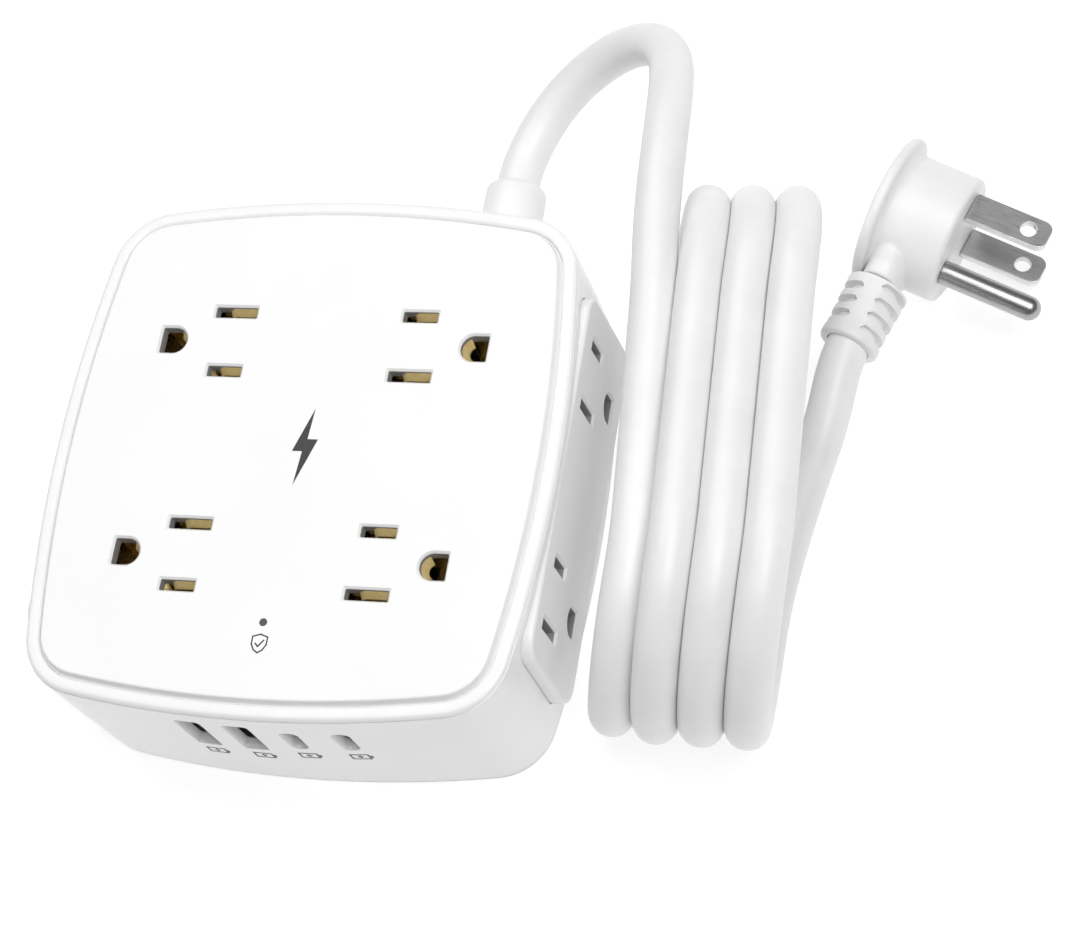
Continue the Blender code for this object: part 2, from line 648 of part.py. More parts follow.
def make_usb():
    board = ((-22.0 * MM, USB_BOARD_Y, 14.0 * MM), (22.0 * MM, USB_BOARD_Y + 1.6 * MM, 37.0 * MM))
    simple_block("usb_board", *board, BOARD)
    back = USB_FRONT_Y + USB_DEPTH
    for kind, mouth, places in (("a", USB_A_MOUTH, USB_A_X), ("c", USB_C_MOUTH, USB_C_X)):
        for i, x in enumerate(places, 1):
            half_x, half_z = mouth[0] / 2.0, mouth[1] / 2.0
            corner = 0.55 * MM if kind == "a" else half_x - 0.05 * MM
            stations = ((back, 0.15 * MM), (USB_FRONT_Y, 0.15 * MM), (USB_FRONT_Y, -0.25 * MM),
                        (back - 1.0 * MM, -0.25 * MM))
            rings = [rounded_slot(x, half_x + grow, half_z + grow, corner + grow, y) for y, grow in stations]
            bm = bmesh.new()
            loft(bm, rings)
            add_object(f"usb_{kind}_port_{i}", bm, STEEL)
            thin, tall = (0.95 * MM, 5.2 * MM) if kind == "a" else (0.38 * MM, 3.3 * MM)
            shift = -0.9 * MM if kind == "a" else 0.0
            low = (x + shift - thin, USB_FRONT_Y + 1.6 * MM, USB_Z - tall)
            high = (x + shift + thin, back - 1.0 * MM - GAP, USB_Z + tall)
            simple_block(f"usb_{kind}_tongue_{i}", low, high, BLACK_PLASTIC)


def make_light():
    bm = bmesh.new()
    profile = [(1.2 * MM, 31.0 * MM), (1.2 * MM, 38.6 * MM)]
    profile += [(LIGHT_RADIUS, 39.0 * MM), (LIGHT_RADIUS, 42.05 * MM)]
    turned(bm, profile, upright(0.0, LIGHT_Y), 12)
    add_object("light_pipe", bm, CLEAR)
    bm = bmesh.new()
    profile = [(1.6 * MM, 25.0 * MM), (1.6 * MM, 26.0 * MM), (1.3 * MM, 26.0 * MM), (1.3 * MM, 29.0 * MM)]
    profile += [(0.9 * MM, 30.2 * MM), (0.3 * MM, 30.6 * MM)]
    turned(bm, profile, upright(0.0, LIGHT_Y), 16)
    add_object("status_led", bm, GREEN)


def make_breaker():
    to_back = backward(BREAKER_X, BREAKER_Z)
    body_front = 47.0 * MM
    low = (BREAKER_X - 6.0 * MM, 27.0 * MM, 11.0 * MM)
    high = (BREAKER_X + 6.0 * MM, body_front, 28.5 * MM)
    simple_block("breaker_body", low, high, BLACK_PLASTIC, 0.6 * MM)
    bm = bmesh.new()
    inner = BUTTON_RADIUS + GAP
    outer = BUTTON_RADIUS + 1.3 * MM
    lip = BUTTON_RADIUS + 2.6 * MM
    lip_front = BREAKER_WALL_Y + GAP
    back = lip_front + 0.6 * MM
    profile = [(inner, body_front + GAP), (outer, body_front + GAP), (outer, lip_front), (lip, lip_front)]
    profile += [(lip - 0.3 * MM, back), (inner, back)]
    turned(bm, profile, to_back, closed=True)
    add_object("breaker_collar", bm, BLACK_PLASTIC)
    bm = bmesh.new()
    tip = back + 0.45 * MM
    profile = [(BUTTON_RADIUS, body_front + 2.0 * GAP), (BUTTON_RADIUS, tip - 0.5 * MM)]
    profile += [(BUTTON_RADIUS - 0.5 * MM, tip)]
    turned(bm, [(r, h - BREAKER_WALL_Y) for r, h in profile], backward(0.0, 0.0))
    button = add_object("reset_button", bm, BLACK_PLASTIC)
    button.location = (BREAKER_X, BREAKER_WALL_Y, BREAKER_Z)


# ---------------------------------------------------------------- lead

EXIT_ROUTE = [
    (25.6 * MM, 70.0 * MM, 20.0 * MM),
    (26.0 * MM, 74.5 * MM, 20.1 * MM),
    (28.4 * MM, 81.2 * MM, 21.1 * MM),
    (33.0 * MM, 87.7 * MM, 23.6 * MM),
    (39.8 * MM, 92.3 * MM, 27.6 * MM),
    (48.0 * MM, 93.6 * MM, 33.2 * MM),
    (56.0 * MM, 90.6 * MM, 39.7 * MM),
    (62.0 * MM, 83.0 * MM, 46.8 * MM),
    (65.2 * MM, 72.5 * MM, 52.9 * MM),
    (66.7 * MM, 61.0 * MM, 56.2 * MM),
    (67.5 * MM, 50.0 * MM, 57.2 * MM),
    (68.1 * MM, 40.0 * MM, 56.6 * MM),
]

PLUG_ROUTE = [
    (85.55 * MM, -18.4 * MM, 4.35 * MM),
    (86.0 * MM, -10.0 * MM, 4.4 * MM),
    (87.2 * MM, -2.0 * MM, 5.2 * MM),
    (89.1 * MM, 6.0 * MM, 7.4 * MM),
    (91.5 * MM, 14.0 * MM, 10.4 * MM),
    (94.0 * MM, 22.0 * MM, 13.4 * MM),
]


def hank_solid():
    """The outer shape of the last three turns: a flat band that steps one run to the right each turn."""
    half = CORD / 2.0
    middle_z = half + FOLD_RADIUS
    left_far = HANK_FAR_X - HANK_PITCH * HANK_RUNS / 2.0
    left_near = HANK_NEAR_X - HANK_PITCH * HANK_RUNS / 2.0
    stations = [(HANK_FAR_Y, 0.0, 1.0, left_far), (HANK_NEAR_Y, 0.0, 1.0, left_near)]
    for i in range(1, FOLD_STEPS + 1):
        angle = math.pi * i / FOLD_STEPS
        lean = HANK_NEAR_LEAN * (1.0 - math.cos(angle)) / 2.0
        stations.append((HANK_NEAR_Y, -math.sin(angle), math.cos(angle), left_near - lean))
    near_bottom = len(stations) - 1
    for i in range(FOLD_STEPS):
        angle = math.pi * (1.0 - i / FOLD_STEPS)
        lean = HANK_FAR_LEAN * (1.0 - math.cos(angle)) / 2.0
        stations.append((HANK_FAR_Y, math.sin(angle), math.cos(angle), left_far + HANK_PITCH - lean))
    count = len(stations)
    turns = HANK_RUNS - 1
    bm = bmesh.new()
    verts = {}

    def vert(station, edge, layer):
        if station == count:
            station, edge = 0, edge + 1
        key = (station, edge, layer)
        if key not in verts:
            y, across, up, x = stations[station]
            reach = FOLD_RADIUS + layer * half
            verts[key] = bm.verts.new((x + HANK_PITCH * edge, y + reach * across, middle_z + reach * up))
        return verts[key]

    def quad(a, b, c, d):
        bm.faces.new((vert(*a), vert(*b), vert(*c), vert(*d)))

    for i in range(count):
        first = 1 if i < near_bottom else 0
        for edge in range(first, first + turns):
            for layer in (-1, 1):
                quad((i, edge, layer), (i, edge + 1, layer), (i + 1, edge + 1, layer), (i + 1, edge, layer))
        for edge in (first, first + turns):
            quad((i, edge, -1), (i, edge, 1), (i + 1, edge, 1), (i + 1, edge, -1))
    for edge in (0, turns):
        ends = ((near_bottom, edge, -1), (near_bottom, edge, 1), (near_bottom, edge + 1, 1))
        quad(*ends, (near_bottom, edge + 1, -1))
    add_object("cord_hank", bm, WHITE_PVC)


def first_turn():
    """Points along the lead's first turn: over the top, beside the other runs, and down the near fold."""
    side = CORD / 2.0 + GAP + 0.05 * MM
    far_x = HANK_FAR_X - HANK_PITCH - side
    near_x = HANK_NEAR_X - HANK_PITCH - side
    top = CORD / 2.0 + 2.0 * FIRST_FOLD_HALF_HEIGHT
    points = []
    for i in range(4):
        share = i / 4.0
        y = HANK_FAR_Y + (HANK_NEAR_Y - HANK_FAR_Y) * share
        points.append((far_x + (near_x - far_x) * share, y, top + FIRST_TURN_DROP * (1.0 - share) ** 1.5))
    for i in range(7):
        angle = math.pi * i / 6.0
        x = near_x - HANK_NEAR_LEAN * (1.0 - math.cos(angle)) / 2.0 - 0.65 * MM * math.sin(angle)
        y = HANK_NEAR_Y - FIRST_FOLD_REACH * math.sin(angle)
        points.append((x, y, CORD / 2.0 + FIRST_FOLD_HALF_HEIGHT * (1.0 + math.cos(angle))))
    return points


def make_gland():
    wall = wall_y(GLAND_X + GLAND_RADIUS, draft(GLAND_Z))
    neck = GLAND_RADIUS - 0.8 * MM - GAP
    inner_face = wall_y(GLAND_X + 9.0 * MM, draft(GLAND_Z) + WALL) - GAP - 0.6 * MM
    profile = [(neck, 43.0 * MM), (neck, inner_face - 2.2 * MM), (8.4 * MM, inner_face - 2.2 * MM)]
    profile += [(8.4 * MM, inner_face), (neck, inner_face), (neck, wall + 1.9 * MM)]
    profile += [(GLAND_RADIUS, wall + 1.9 * MM), (GLAND_RADIUS - 0.05 * MM, GLAND_TIP_Y - 3.0 * MM)]
    profile += [(GLAND_RADIUS - 0.25 * MM, GLAND_TIP_Y - 1.0 * MM), (GLAND_RADIUS - 0.9 * MM, GLAND_TIP_Y)]
    bm = bmesh.new()
    turned(bm, profile, backward(GLAND_X, GLAND_Z), 28)
    add_object("cord_gland", bm, WHITE_PVC)


WIRES = {
    "hot_wire": (BLACK_PLASTIC, (-2.7 * MM, 0.0),
                 [(14.0, 35.5, 20.5), (-2.0, 33.0, 21.0), (-14.0, 34.0, 21.5), (-19.7, 34.0, 21.5)]),
    "neutral_wire": (WHITE_SATIN, (2.7 * MM, 0.0),
                     [(27.2, 35.5, 22.0), (25.4, 33.6, 26.0), (25.0, 33.4, 30.3)]),
    "ground_wire": (GREEN, (0.0, -3.2 * MM),
                    [(29.5, 36.2, 17.0), (33.6, 34.4, 20.0), (35.8, 33.2, 25.5), (36.05, 33.0, 30.3)]),
}


def make_wires():
    """The lead's three cores inside the box, from the gland to the breaker and the two buses."""
    for name, (finish, (dx, dz), rest) in WIRES.items():
        start = Vector((GLAND_X + dx, 43.0 * MM - GAP, GLAND_Z + dz))
        points = [start, start + Vector((0.0, -4.0 * MM, 0.0))]
        points += [Vector(p) * MM for p in rest]
        tube(name, smooth_route(points, 4.0 * MM), 1.1 * MM, finish)


# ---------------------------------------------------------------- plug

def plug_frame():
    """An empty at the face between the blades: X along the blades, Y to the ground pin."""
    empty = bpy.data.objects.new("plug_frame", None)
    bpy.context.collection.objects.link(empty)
    reach = math.cos(PLUG_PITCH)
    forward = Vector((reach * math.cos(PLUG_YAW), reach * math.sin(PLUG_YAW), -math.sin(PLUG_PITCH)))
    level = forward.cross(Vector((0.0, 0.0, 1.0))).normalized()
    down = forward.cross(level)
    to_pin = math.cos(PLUG_ROLL) * level - math.sin(PLUG_ROLL) * down
    empty.matrix_world = axes(PLUG_PLACE, forward, to_pin, forward.cross(to_pin))
    return empty


def relief_place():
    """Local frame of the plug's strain relief: Z runs out along the lead."""
    return axes((RELIEF_X, 0.0, 0.0), (0.0, 0.0, 1.0), (1.0, 0.0, 0.0), (0.0, 1.0, 0.0))


def make_plug(frame):
    forward = axes((0.0, PLUG_CENTRE, 0.0), *TO_RIGHT)
    bm = bmesh.new()
    profile = [(PLUG_RADIUS, -PLUG_DEPTH), (PLUG_RADIUS, -0.6 * MM), (PLUG_RADIUS - 0.6 * MM, 0.0)]
    turned(bm, profile, forward, 40)
    body = add_object("plug_body", bm, WHITE_PVC, frame)
    neck = bmesh.new()
    rings = []
    for y, half_z in ((6.0 * MM, 8.6 * MM), (15.5 * MM, 7.4 * MM), (RELIEF_SHOULDER - GAP, 6.2 * MM)):
        ring = []
        for i in range(20):
            angle = 2.0 * math.pi * (i + 0.5) / 20
            across = math.copysign(abs(math.cos(angle)) ** 0.7, math.cos(angle)) * half_z
            along = math.copysign(abs(math.sin(angle)) ** 0.7, math.sin(angle)) * NECK_HALF
            ring.append(relief_place() @ Vector((across, along, y)))
        rings.append(ring)
    loft(neck, rings)
    combine(body, neck, "UNION")
    bore = bmesh.new()
    radius = RELIEF_ROOT_RADIUS + GAP
    turned(bore, [(radius, RELIEF_START - GAP), (radius, RELIEF_SHOULDER + 1.0 * MM)], relief_place(), 16)
    combine(body, bore)
    bm = bmesh.new()
    back = -PLUG_DEPTH - GAP
    profile = [(PLUG_CAP_RADIUS - 1.6 * MM, back - PLUG_CAP_THICKNESS)]
    profile += [(PLUG_CAP_RADIUS - 0.5 * MM, back - 2.2 * MM)]
    profile += [(PLUG_CAP_RADIUS, back - 1.4 * MM), (PLUG_CAP_RADIUS - 0.3 * MM, back - 0.5 * MM)]
    profile += [(PLUG_CAP_RADIUS - 1.0 * MM, back)]
    turned(bm, profile, forward, 40)
    add_object("plug_cap", bm, WHITE_PVC, frame)


def blade_outline():
    """Side view of a blade with its chamfered tip."""
    half = BLADE[1] / 2.0
    length = BLADE[0]
    tip = half - 1.5 * MM
    shoulder = length - 2.4 * MM
    return [(GAP, -half), (shoulder, -half), (length, -tip), (length, tip), (shoulder, half), (GAP, half)]


def make_contacts(frame):
    """The blades and the ground pin, turned a little about the plug's axis from the line of the relief."""
    for name, z in (("plug_blade_hot", -BLADE_SPACING / 2.0), ("plug_blade_neutral", BLADE_SPACING / 2.0)):
        bm = bmesh.new()
        half = BLADE[2] / 2.0
        rings = [[Vector((x, y, z + side)) for x, y in blade_outline()] for side in (-half, half)]
        loft(bm, [[CONTACT_TURN @ point for point in ring] for ring in rings])
        blade = add_object(name, bm, NICKEL, frame)
        hole = bmesh.new()
        place = CONTACT_TURN @ Matrix.Translation((BLADE_HOLE, 0.0, z))
        turned(hole, [(1.6 * MM, -2.0 * MM), (1.6 * MM, 2.0 * MM)], place, 16)
        combine(blade, hole)
    bm = bmesh.new()
    forward = CONTACT_TURN @ axes((0.0, PIN_OFFSET, 0.0), *TO_RIGHT)
    radius = GROUND_PIN_RADIUS
    profile = [(radius, GAP), (radius, GROUND_PIN_LENGTH - radius)]
    for i in range(1, 5):
        angle = math.radians(20.0 * i)
        profile.append((radius * math.cos(angle), GROUND_PIN_LENGTH - radius + radius * math.sin(angle)))
    turned(bm, profile, forward, 20)
    add_object("plug_ground_pin", bm, NICKEL, frame)


def make_relief(frame):
    root = RELIEF_ROOT_RADIUS
    end = RELIEF_END
    profile = [(root, RELIEF_START), (root, RELIEF_SHOULDER), (6.1 * MM, RELIEF_SHOULDER)]
    profile += [(5.7 * MM, end - 2.4 * MM), (6.0 * MM, end - 2.2 * MM), (6.0 * MM, end - 0.6 * MM)]
    profile += [(5.5 * MM, end)]
    bm = bmesh.new()
    turned(bm, profile, relief_place(), 24)
    add_object("plug_strain_relief", bm, WHITE_PVC, frame)


def make_leads(frame):
    spacing = 0.7 * CORD
    gland_end = Vector((GLAND_X, GLAND_TIP_Y + GAP, GLAND_Z))
    exit_route = smooth_route(EXIT_ROUTE + first_turn(), spacing)
    hank_start = exit_route.pop() - Vector((0.0, GAP, 0.0))
    level = hank_start - Vector((0.0, 1.5 * MM, 0.0))
    tube("cord_exit_lead", [gland_end, *exit_route, level, hank_start], CORD / 2.0, WHITE_PVC)
    place = frame.matrix_world @ relief_place()
    near = place @ Vector((0.0, 0.0, RELIEF_END + 3.0 * MM))
    joined = place @ Vector((0.0, 0.0, RELIEF_END + 1.5 * MM))
    relief_end = place @ Vector((0.0, 0.0, RELIEF_END + GAP))
    route = smooth_route(PLUG_ROUTE + [near, joined], spacing)
    tube("cord_plug_lead", route + [relief_end], CORD / 2.0, WHITE_PVC)


# ---------------------------------------------------------------- build

def build():
    clear_scene()
    make_body_shell()
    make_top_panel()
    make_side_panel(1.0, "right_socket_panel")
    make_side_panel(-1.0, "left_socket_panel")
    make_base_cover()
    make_feet_and_screws()
    top_bus("hot", 0.0)
    top_bus("neutral", 34.6 * MM)
    top_bus("ground", 39.0 * MM)
    for side, side_name in ((1.0, "right"), (-1.0, "left")):
        for role in ROLES:
            side_bus(role, side, side_name)
    make_surge_board()
    make_usb()
    make_light()
    make_breaker()
    make_gland()
    make_wires()
    hank_solid()
    frame = plug_frame()
    make_plug(frame)
    make_contacts(frame)
    make_relief(frame)
    make_leads(frame)


build()
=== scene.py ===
"""Looks of the surge protector: every visible piece, its materials, the floor, the light and the camera."""

import math

import bmesh
import bpy
from mathutils import Matrix, Vector


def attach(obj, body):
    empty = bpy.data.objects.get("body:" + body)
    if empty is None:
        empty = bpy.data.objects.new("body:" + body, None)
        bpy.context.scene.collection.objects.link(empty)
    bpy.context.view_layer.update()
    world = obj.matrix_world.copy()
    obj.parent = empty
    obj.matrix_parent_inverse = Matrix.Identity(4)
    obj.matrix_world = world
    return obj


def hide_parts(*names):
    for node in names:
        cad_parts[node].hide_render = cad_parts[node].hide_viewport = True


MM = 0.001
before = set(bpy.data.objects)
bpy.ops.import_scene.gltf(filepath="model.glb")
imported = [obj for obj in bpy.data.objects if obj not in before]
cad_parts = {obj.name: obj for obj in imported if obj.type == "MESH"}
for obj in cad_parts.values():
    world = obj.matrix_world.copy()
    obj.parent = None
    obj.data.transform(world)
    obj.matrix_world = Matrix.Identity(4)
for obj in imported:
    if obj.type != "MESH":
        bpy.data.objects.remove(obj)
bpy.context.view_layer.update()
scene = bpy.context.scene
scene.view_settings.view_transform = "Standard"

# ---------------------------------------------------------------- sizes, as in the CAD

BOX_WIDTH = 103.0
BOX_DEPTH = 108.6
BOX_HEIGHT = 42.0
SIDE_BULGE = 280.0
FRONT_BULGE = 240.0
CORNER = 13.0
RIM_TOP = 41.1
RIM_WIDTH = 2.9
WALL = 2.2
SHELL_BOTTOM = 4.0
GAP = 0.3
BLADE_SPACING = 12.7
GROUND_OFFSET = 11.98
NEUTRAL_SLOT = 9.57
HOT_SLOT = 7.99
SLOT_WIDTH = 3.1
GROUND_RADIUS = 3.13
TOP_SOCKET_X = 19.15
SOCKET_Y = 22.46
PANEL_X = 51.3
PANEL_LENGTH = 74.6
PANEL_BOTTOM = 8.5
PANEL_TOP = 37.6
PANEL_CORNER = 4.5
SIDE_SOCKET_Z = 28.7
USB_Z = 29.0
USB_A_X = (-14.4, -4.6)
USB_C_X = (5.3, 15.6)
USB_A_MOUTH = (4.9, 13.2)
USB_C_MOUTH = (3.3, 9.0)
LIGHT_Y = -35.4
BREAKER_X = -26.0
BREAKER_Z = 22.0
BREAKER_WALL_Y = 52.9
BUTTON_RADIUS = 3.2
CORD = 8.6
GLAND_X = 25.6
GLAND_Z = 20.0
GLAND_TIP_Y = 68.5
GLAND_RADIUS = 6.2
FOLD = 3.0 * CORD
RUNS = 4
PITCH = 8.7
HANK_FAR_X = 82.0
HANK_NEAR_X = 84.5
HANK_NEAR_Y = -18.7
HANK_FAR_Y = 30.7
NEAR_LEAN = 12.0
FAR_LEAN = 18.0
FIRST_FOLD_REACH = 24.3
FIRST_FOLD_HALF_HEIGHT = 23.4
FIRST_TURN_DROP = 4.4
PLUG_PLACE = (116.5, 66.1, 12.4)
PLUG_TURN = tuple(math.radians(a) for a in (-19.0, 10.3, 2.5))
PLUG_RADIUS = 12.8
PLUG_DEPTH = 13.8
PLUG_CENTRE = 4.0
CAP_RADIUS = 15.5
CAP_THICKNESS = 2.7
BLADE = (16.3, 6.35, 1.52)
BLADE_HOLE = 12.0
PIN_RADIUS = 2.38
PIN_LENGTH = 20.5
PIN_OFFSET = 11.89
RELIEF_X = -9.9
RELIEF_START = 13.2
RELIEF_SHOULDER = 19.9
RELIEF_END = 33.4
RELIEF_ROOT = 2.9
RELIEF_RADIUS = 6.0
NECK_HALF_THICKNESS = 3.85
RELIEF_SLOT_PITCH = 3.15
CONTACT_TURN = math.radians(-6.5)
TOP_PANEL_THICKNESS = 2.7
SIDE_PANEL_THICKNESS = 4.6
SLOT_INSET = 0.45
SHADE_DEPTH = 0.45
FOOT_X = 36.0
FOOT_Y = 31.0
SCREW_X = 37.5
SCREW_Y = 39.5
PORT_FRONT_Y = -50.4
PORT_LENGTH = 11.5
CORD_STEP = 2.0


# ---------------------------------------------------------------- materials

def finish(name, tones, rough, grain, bump=0.0, bump_grain=0.3, metallic=0.0, stretch=(1.0, 1.0, 1.0)):
    """A surface whose colour and roughness drift between two values, with a fine relief. Grains are in mm."""
    made = bpy.data.materials.new(name)
    made.use_nodes = True
    nodes = made.node_tree.nodes
    link = made.node_tree.links.new
    shader = nodes["Principled BSDF"]
    shader.inputs["Metallic"].default_value = metallic
    place = nodes.new("ShaderNodeTexCoord")
    mapping = nodes.new("ShaderNodeMapping")
    mapping.inputs["Scale"].default_value = stretch
    link(place.outputs["Object"], mapping.inputs["Vector"])

    def noise(size, detail):
        node = nodes.new("ShaderNodeTexNoise")
        node.inputs["Scale"].default_value = 1.0 / (size * MM)
        node.inputs["Detail"].default_value = detail
        node.inputs["Roughness"].default_value = 0.55
        link(mapping.outputs["Vector"], node.inputs["Vector"])
        return node.outputs[0]

    drift = noise(grain, 3.0)
    ramp = nodes.new("ShaderNodeValToRGB")
    ramp.color_ramp.elements[0].position = 0.25
    ramp.color_ramp.elements[1].position = 0.75
    ramp.color_ramp.elements[0].color = (*tones[0], 1.0)
    ramp.color_ramp.elements[1].color = (*tones[1], 1.0)
    link(drift, ramp.inputs["Fac"])
    link(ramp.outputs["Color"], shader.inputs["Base Color"])
    spread = nodes.new("ShaderNodeMapRange")
    spread.inputs["From Min"].default_value = 0.3
    spread.inputs["From Max"].default_value = 0.7
    spread.inputs["To Min"].default_value = rough[0]
    spread.inputs["To Max"].default_value = rough[1]
    link(noise(grain * 0.4, 4.0), spread.inputs["Value"])
    link(spread.outputs["Result"], shader.inputs["Roughness"])
    if bump:
        relief = nodes.new("ShaderNodeBump")
        relief.inputs["Strength"].default_value = 0.5
        relief.inputs["Distance"].default_value = bump * MM
        link(noise(bump_grain, 2.0), relief.inputs["Height"])
        link(relief.outputs["Normal"], shader.inputs["Normal"])
    return made


GLOSS = finish("gloss_white", ((0.86, 0.86, 0.865), (0.90, 0.90, 0.905)), (0.16, 0.24), 22.0, 0.006, 0.7)
PANEL = finish("panel_white", ((0.89, 0.89, 0.892), (0.92, 0.92, 0.922)), (0.12, 0.18), 30.0, 0.004, 0.9)
# Painted shade: the darker grey that the slot walls get below the face stands for the shade inside the holes.
PAINTED_SHADE = finish("socket_painted_shade", ((0.32, 0.32, 0.315), (0.40, 0.40, 0.39)), (0.45, 0.6), 5.0, 0.02, 0.4)
SATIN = finish("satin_white", ((0.82, 0.82, 0.83), (0.87, 0.87, 0.875)), (0.34, 0.46), 12.0, 0.02, 0.35)
VINYL = finish("cord_vinyl", ((0.83, 0.83, 0.835), (0.88, 0.88, 0.885)), (0.30, 0.42), 9.0, 0.03, 0.5)
MOULD = finish("plug_vinyl", ((0.82, 0.82, 0.825), (0.87, 0.87, 0.875)), (0.34, 0.48), 7.0, 0.03, 0.3)
BRASS = finish("contact_brass", ((0.62, 0.44, 0.15), (0.84, 0.64, 0.28)), (0.22, 0.40), 1.6, 0.02, 0.25, 1.0,
               (1.0, 1.0, 0.2))
NICKEL = finish("blade_nickel", ((0.62, 0.62, 0.62), (0.78, 0.78, 0.775)), (0.26, 0.36), 0.5, metallic=1.0)
PIN_METAL = finish("pin_nickel", ((0.34, 0.34, 0.34), (0.46, 0.46, 0.455)), (0.24, 0.34), 0.5, metallic=1.0)
CONTACT = finish("contact_leaf_brass", ((0.84, 0.62, 0.24), (0.98, 0.80, 0.40)), (0.3, 0.45), 0.9, 0.02, 0.2,
                 0.3)
STEEL = finish("port_steel", ((0.46, 0.46, 0.47), (0.62, 0.62, 0.63)), (0.26, 0.42), 1.5, 0.015, 0.2, 1.0,
               (1.0, 0.15, 1.0))
TONGUE = finish("port_tongue_grey", ((0.10, 0.10, 0.10), (0.16, 0.16, 0.16)), (0.35, 0.5), 2.5, 0.02, 0.25)
BLACK = finish("black_plastic", ((0.018, 0.018, 0.019), (0.035, 0.035, 0.036)), (0.35, 0.5), 2.5, 0.02, 0.25)
RUBBER = finish("foot_rubber", ((0.03, 0.03, 0.03), (0.055, 0.055, 0.055)), (0.65, 0.85), 1.5, 0.06, 0.3)
BOARD = finish("circuit_board", ((0.015, 0.13, 0.05), (0.03, 0.20, 0.08)), (0.35, 0.5), 3.0, 0.03, 0.6)
CERAMIC = finish("varistor_blue", ((0.03, 0.10, 0.42), (0.05, 0.16, 0.55)), (0.3, 0.45), 2.0, 0.03, 0.5)
YELLOW = finish("winding_yellow", ((0.68, 0.48, 0.05), (0.82, 0.62, 0.10)), (0.4, 0.55), 2.0, 0.03, 0.4)
GREEN = finish("wire_green", ((0.04, 0.30, 0.07), (0.07, 0.42, 0.11)), (0.3, 0.45), 2.0, 0.02, 0.4)
SMOKE = finish("light_pipe_smoke", ((0.012, 0.014, 0.013), (0.03, 0.035, 0.032)), (0.06, 0.14), 0.8, 0.01,
               0.3)
PRINT = finish("printed_grey", ((0.022, 0.022, 0.024), (0.038, 0.038, 0.041)), (0.4, 0.6), 0.8, 0.004, 0.15)


# ---------------------------------------------------------------- mesh helpers, in millimetres

def skin(bm, rings, closed=False):
    """Faces between rings of equal length. A closed skin runs from the last ring to the first, an open one
    gets flat ends."""
    rows = [[bm.verts.new(point) for point in ring] for ring in rings]
    pairs = list(zip(rows, rows[1:]))
    if closed:
        pairs.append((rows[-1], rows[0]))
    for low, high in pairs:
        for i, vert in enumerate(low):
            j = (i + 1) % len(low)
            bm.faces.new((vert, low[j], high[j], high[i]))
    if not closed:
        bm.faces.new(list(reversed(rows[0])))
        bm.faces.new(rows[-1])


def turned(bm, profile, place=Matrix(), steps=64, closed=False):
    """A turned solid: the profile holds radius and height, and the axis is z."""
    rings = []
    for radius, height in profile:
        ring = []
        for i in range(steps):
            angle = 2.0 * math.pi * i / steps
            ring.append(place @ Vector((radius * math.cos(angle), radius * math.sin(angle), height)))
        rings.append(ring)
    skin(bm, rings, closed)


def block(bm, low, high, place=Matrix()):
    """A box between two opposite corners."""
    rings = []
    for z in (low[2], high[2]):
        corners = ((low[0], low[1]), (high[0], low[1]), (high[0], high[1]), (low[0], high[1]))
        rings.append([place @ Vector((x, y, z)) for x, y in corners])
    skin(bm, rings)


def axes(origin, x_axis, y_axis, z_axis):
    """The matrix that carries its own axes to an origin and three directions."""
    return Matrix.Translation(origin) @ Matrix((x_axis, y_axis, z_axis)).transposed().to_4x4()


def fillet(start, end, corner, steps=5):
    """Points of a quarter-round from start to end that bulges towards corner."""
    made = []
    for i in range(steps + 1):
        angle = math.pi / 2.0 * i / steps
        made.append(tuple(c + (s - c) * (1.0 - math.sin(angle)) + (e - c) * (1.0 - math.cos(angle))
                          for s, e, c in zip(start, end, corner)))
    return made


def to_mesh(name, bm):
    """A mesh in metres from a bmesh in millimetres."""
    bmesh.ops.remove_doubles(bm, verts=bm.verts, dist=0.001)
    bmesh.ops.recalc_face_normals(bm, faces=bm.faces)
    bmesh.ops.scale(bm, vec=(MM, MM, MM), verts=bm.verts)
    mesh = bpy.data.meshes.new(name)
    bm.to_mesh(mesh)
    bm.free()
    return mesh


def shade(obj, sharp):
    """Smooth shading, with edges kept sharp where faces meet at more than an angle in degrees."""
    obj.data.shade_smooth()
    obj.data.set_sharp_from_angle(angle=math.radians(sharp))


def piece(name, bm, material, replaces=(), body="box", sharp=30.0):
    """A visible piece that rides on a body and stands for the CAD nodes in replaces."""
    obj = bpy.data.objects.new(name, to_mesh(name, bm))
    scene.collection.objects.link(obj)
    obj.data.materials.append(material)
    shade(obj, sharp)
    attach(obj, body)
    if replaces:
        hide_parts(*replaces)
    return obj


def apply_modifiers(obj):
    graph = bpy.context.evaluated_depsgraph_get()
    graph.update()
    done = bpy.data.meshes.new_from_object(obj.evaluated_get(graph))
    old = obj.data
    done.name = old.name
    obj.modifiers.clear()
    obj.data = done
    bpy.data.meshes.remove(old)


def combine(obj, bm, operation="DIFFERENCE", sharp=30.0):
    """Cut the solid in bm from a piece, or join it on."""
    tool = bpy.data.objects.new("tool", to_mesh("tool", bm))
    scene.collection.objects.link(tool)
    modifier = obj.modifiers.new("cut", "BOOLEAN")
    modifier.operation = operation
    modifier.solver = "EXACT"
    modifier.use_self = True
    modifier.object = tool
    apply_modifiers(obj)
    shade(obj, sharp)
    bpy.data.meshes.remove(tool.data)


def bevel(obj, width, angle=30.0):
    """Round the edges that are sharper than an angle in degrees."""
    modifier = obj.modifiers.new("edges", "BEVEL")
    modifier.width = width * MM
    modifier.segments = 2
    modifier.limit_method = "ANGLE"
    modifier.angle_limit = math.radians(angle)
    modifier.harden_normals = True
    modifier.use_clamp_overlap = True


# ---------------------------------------------------------------- box outline

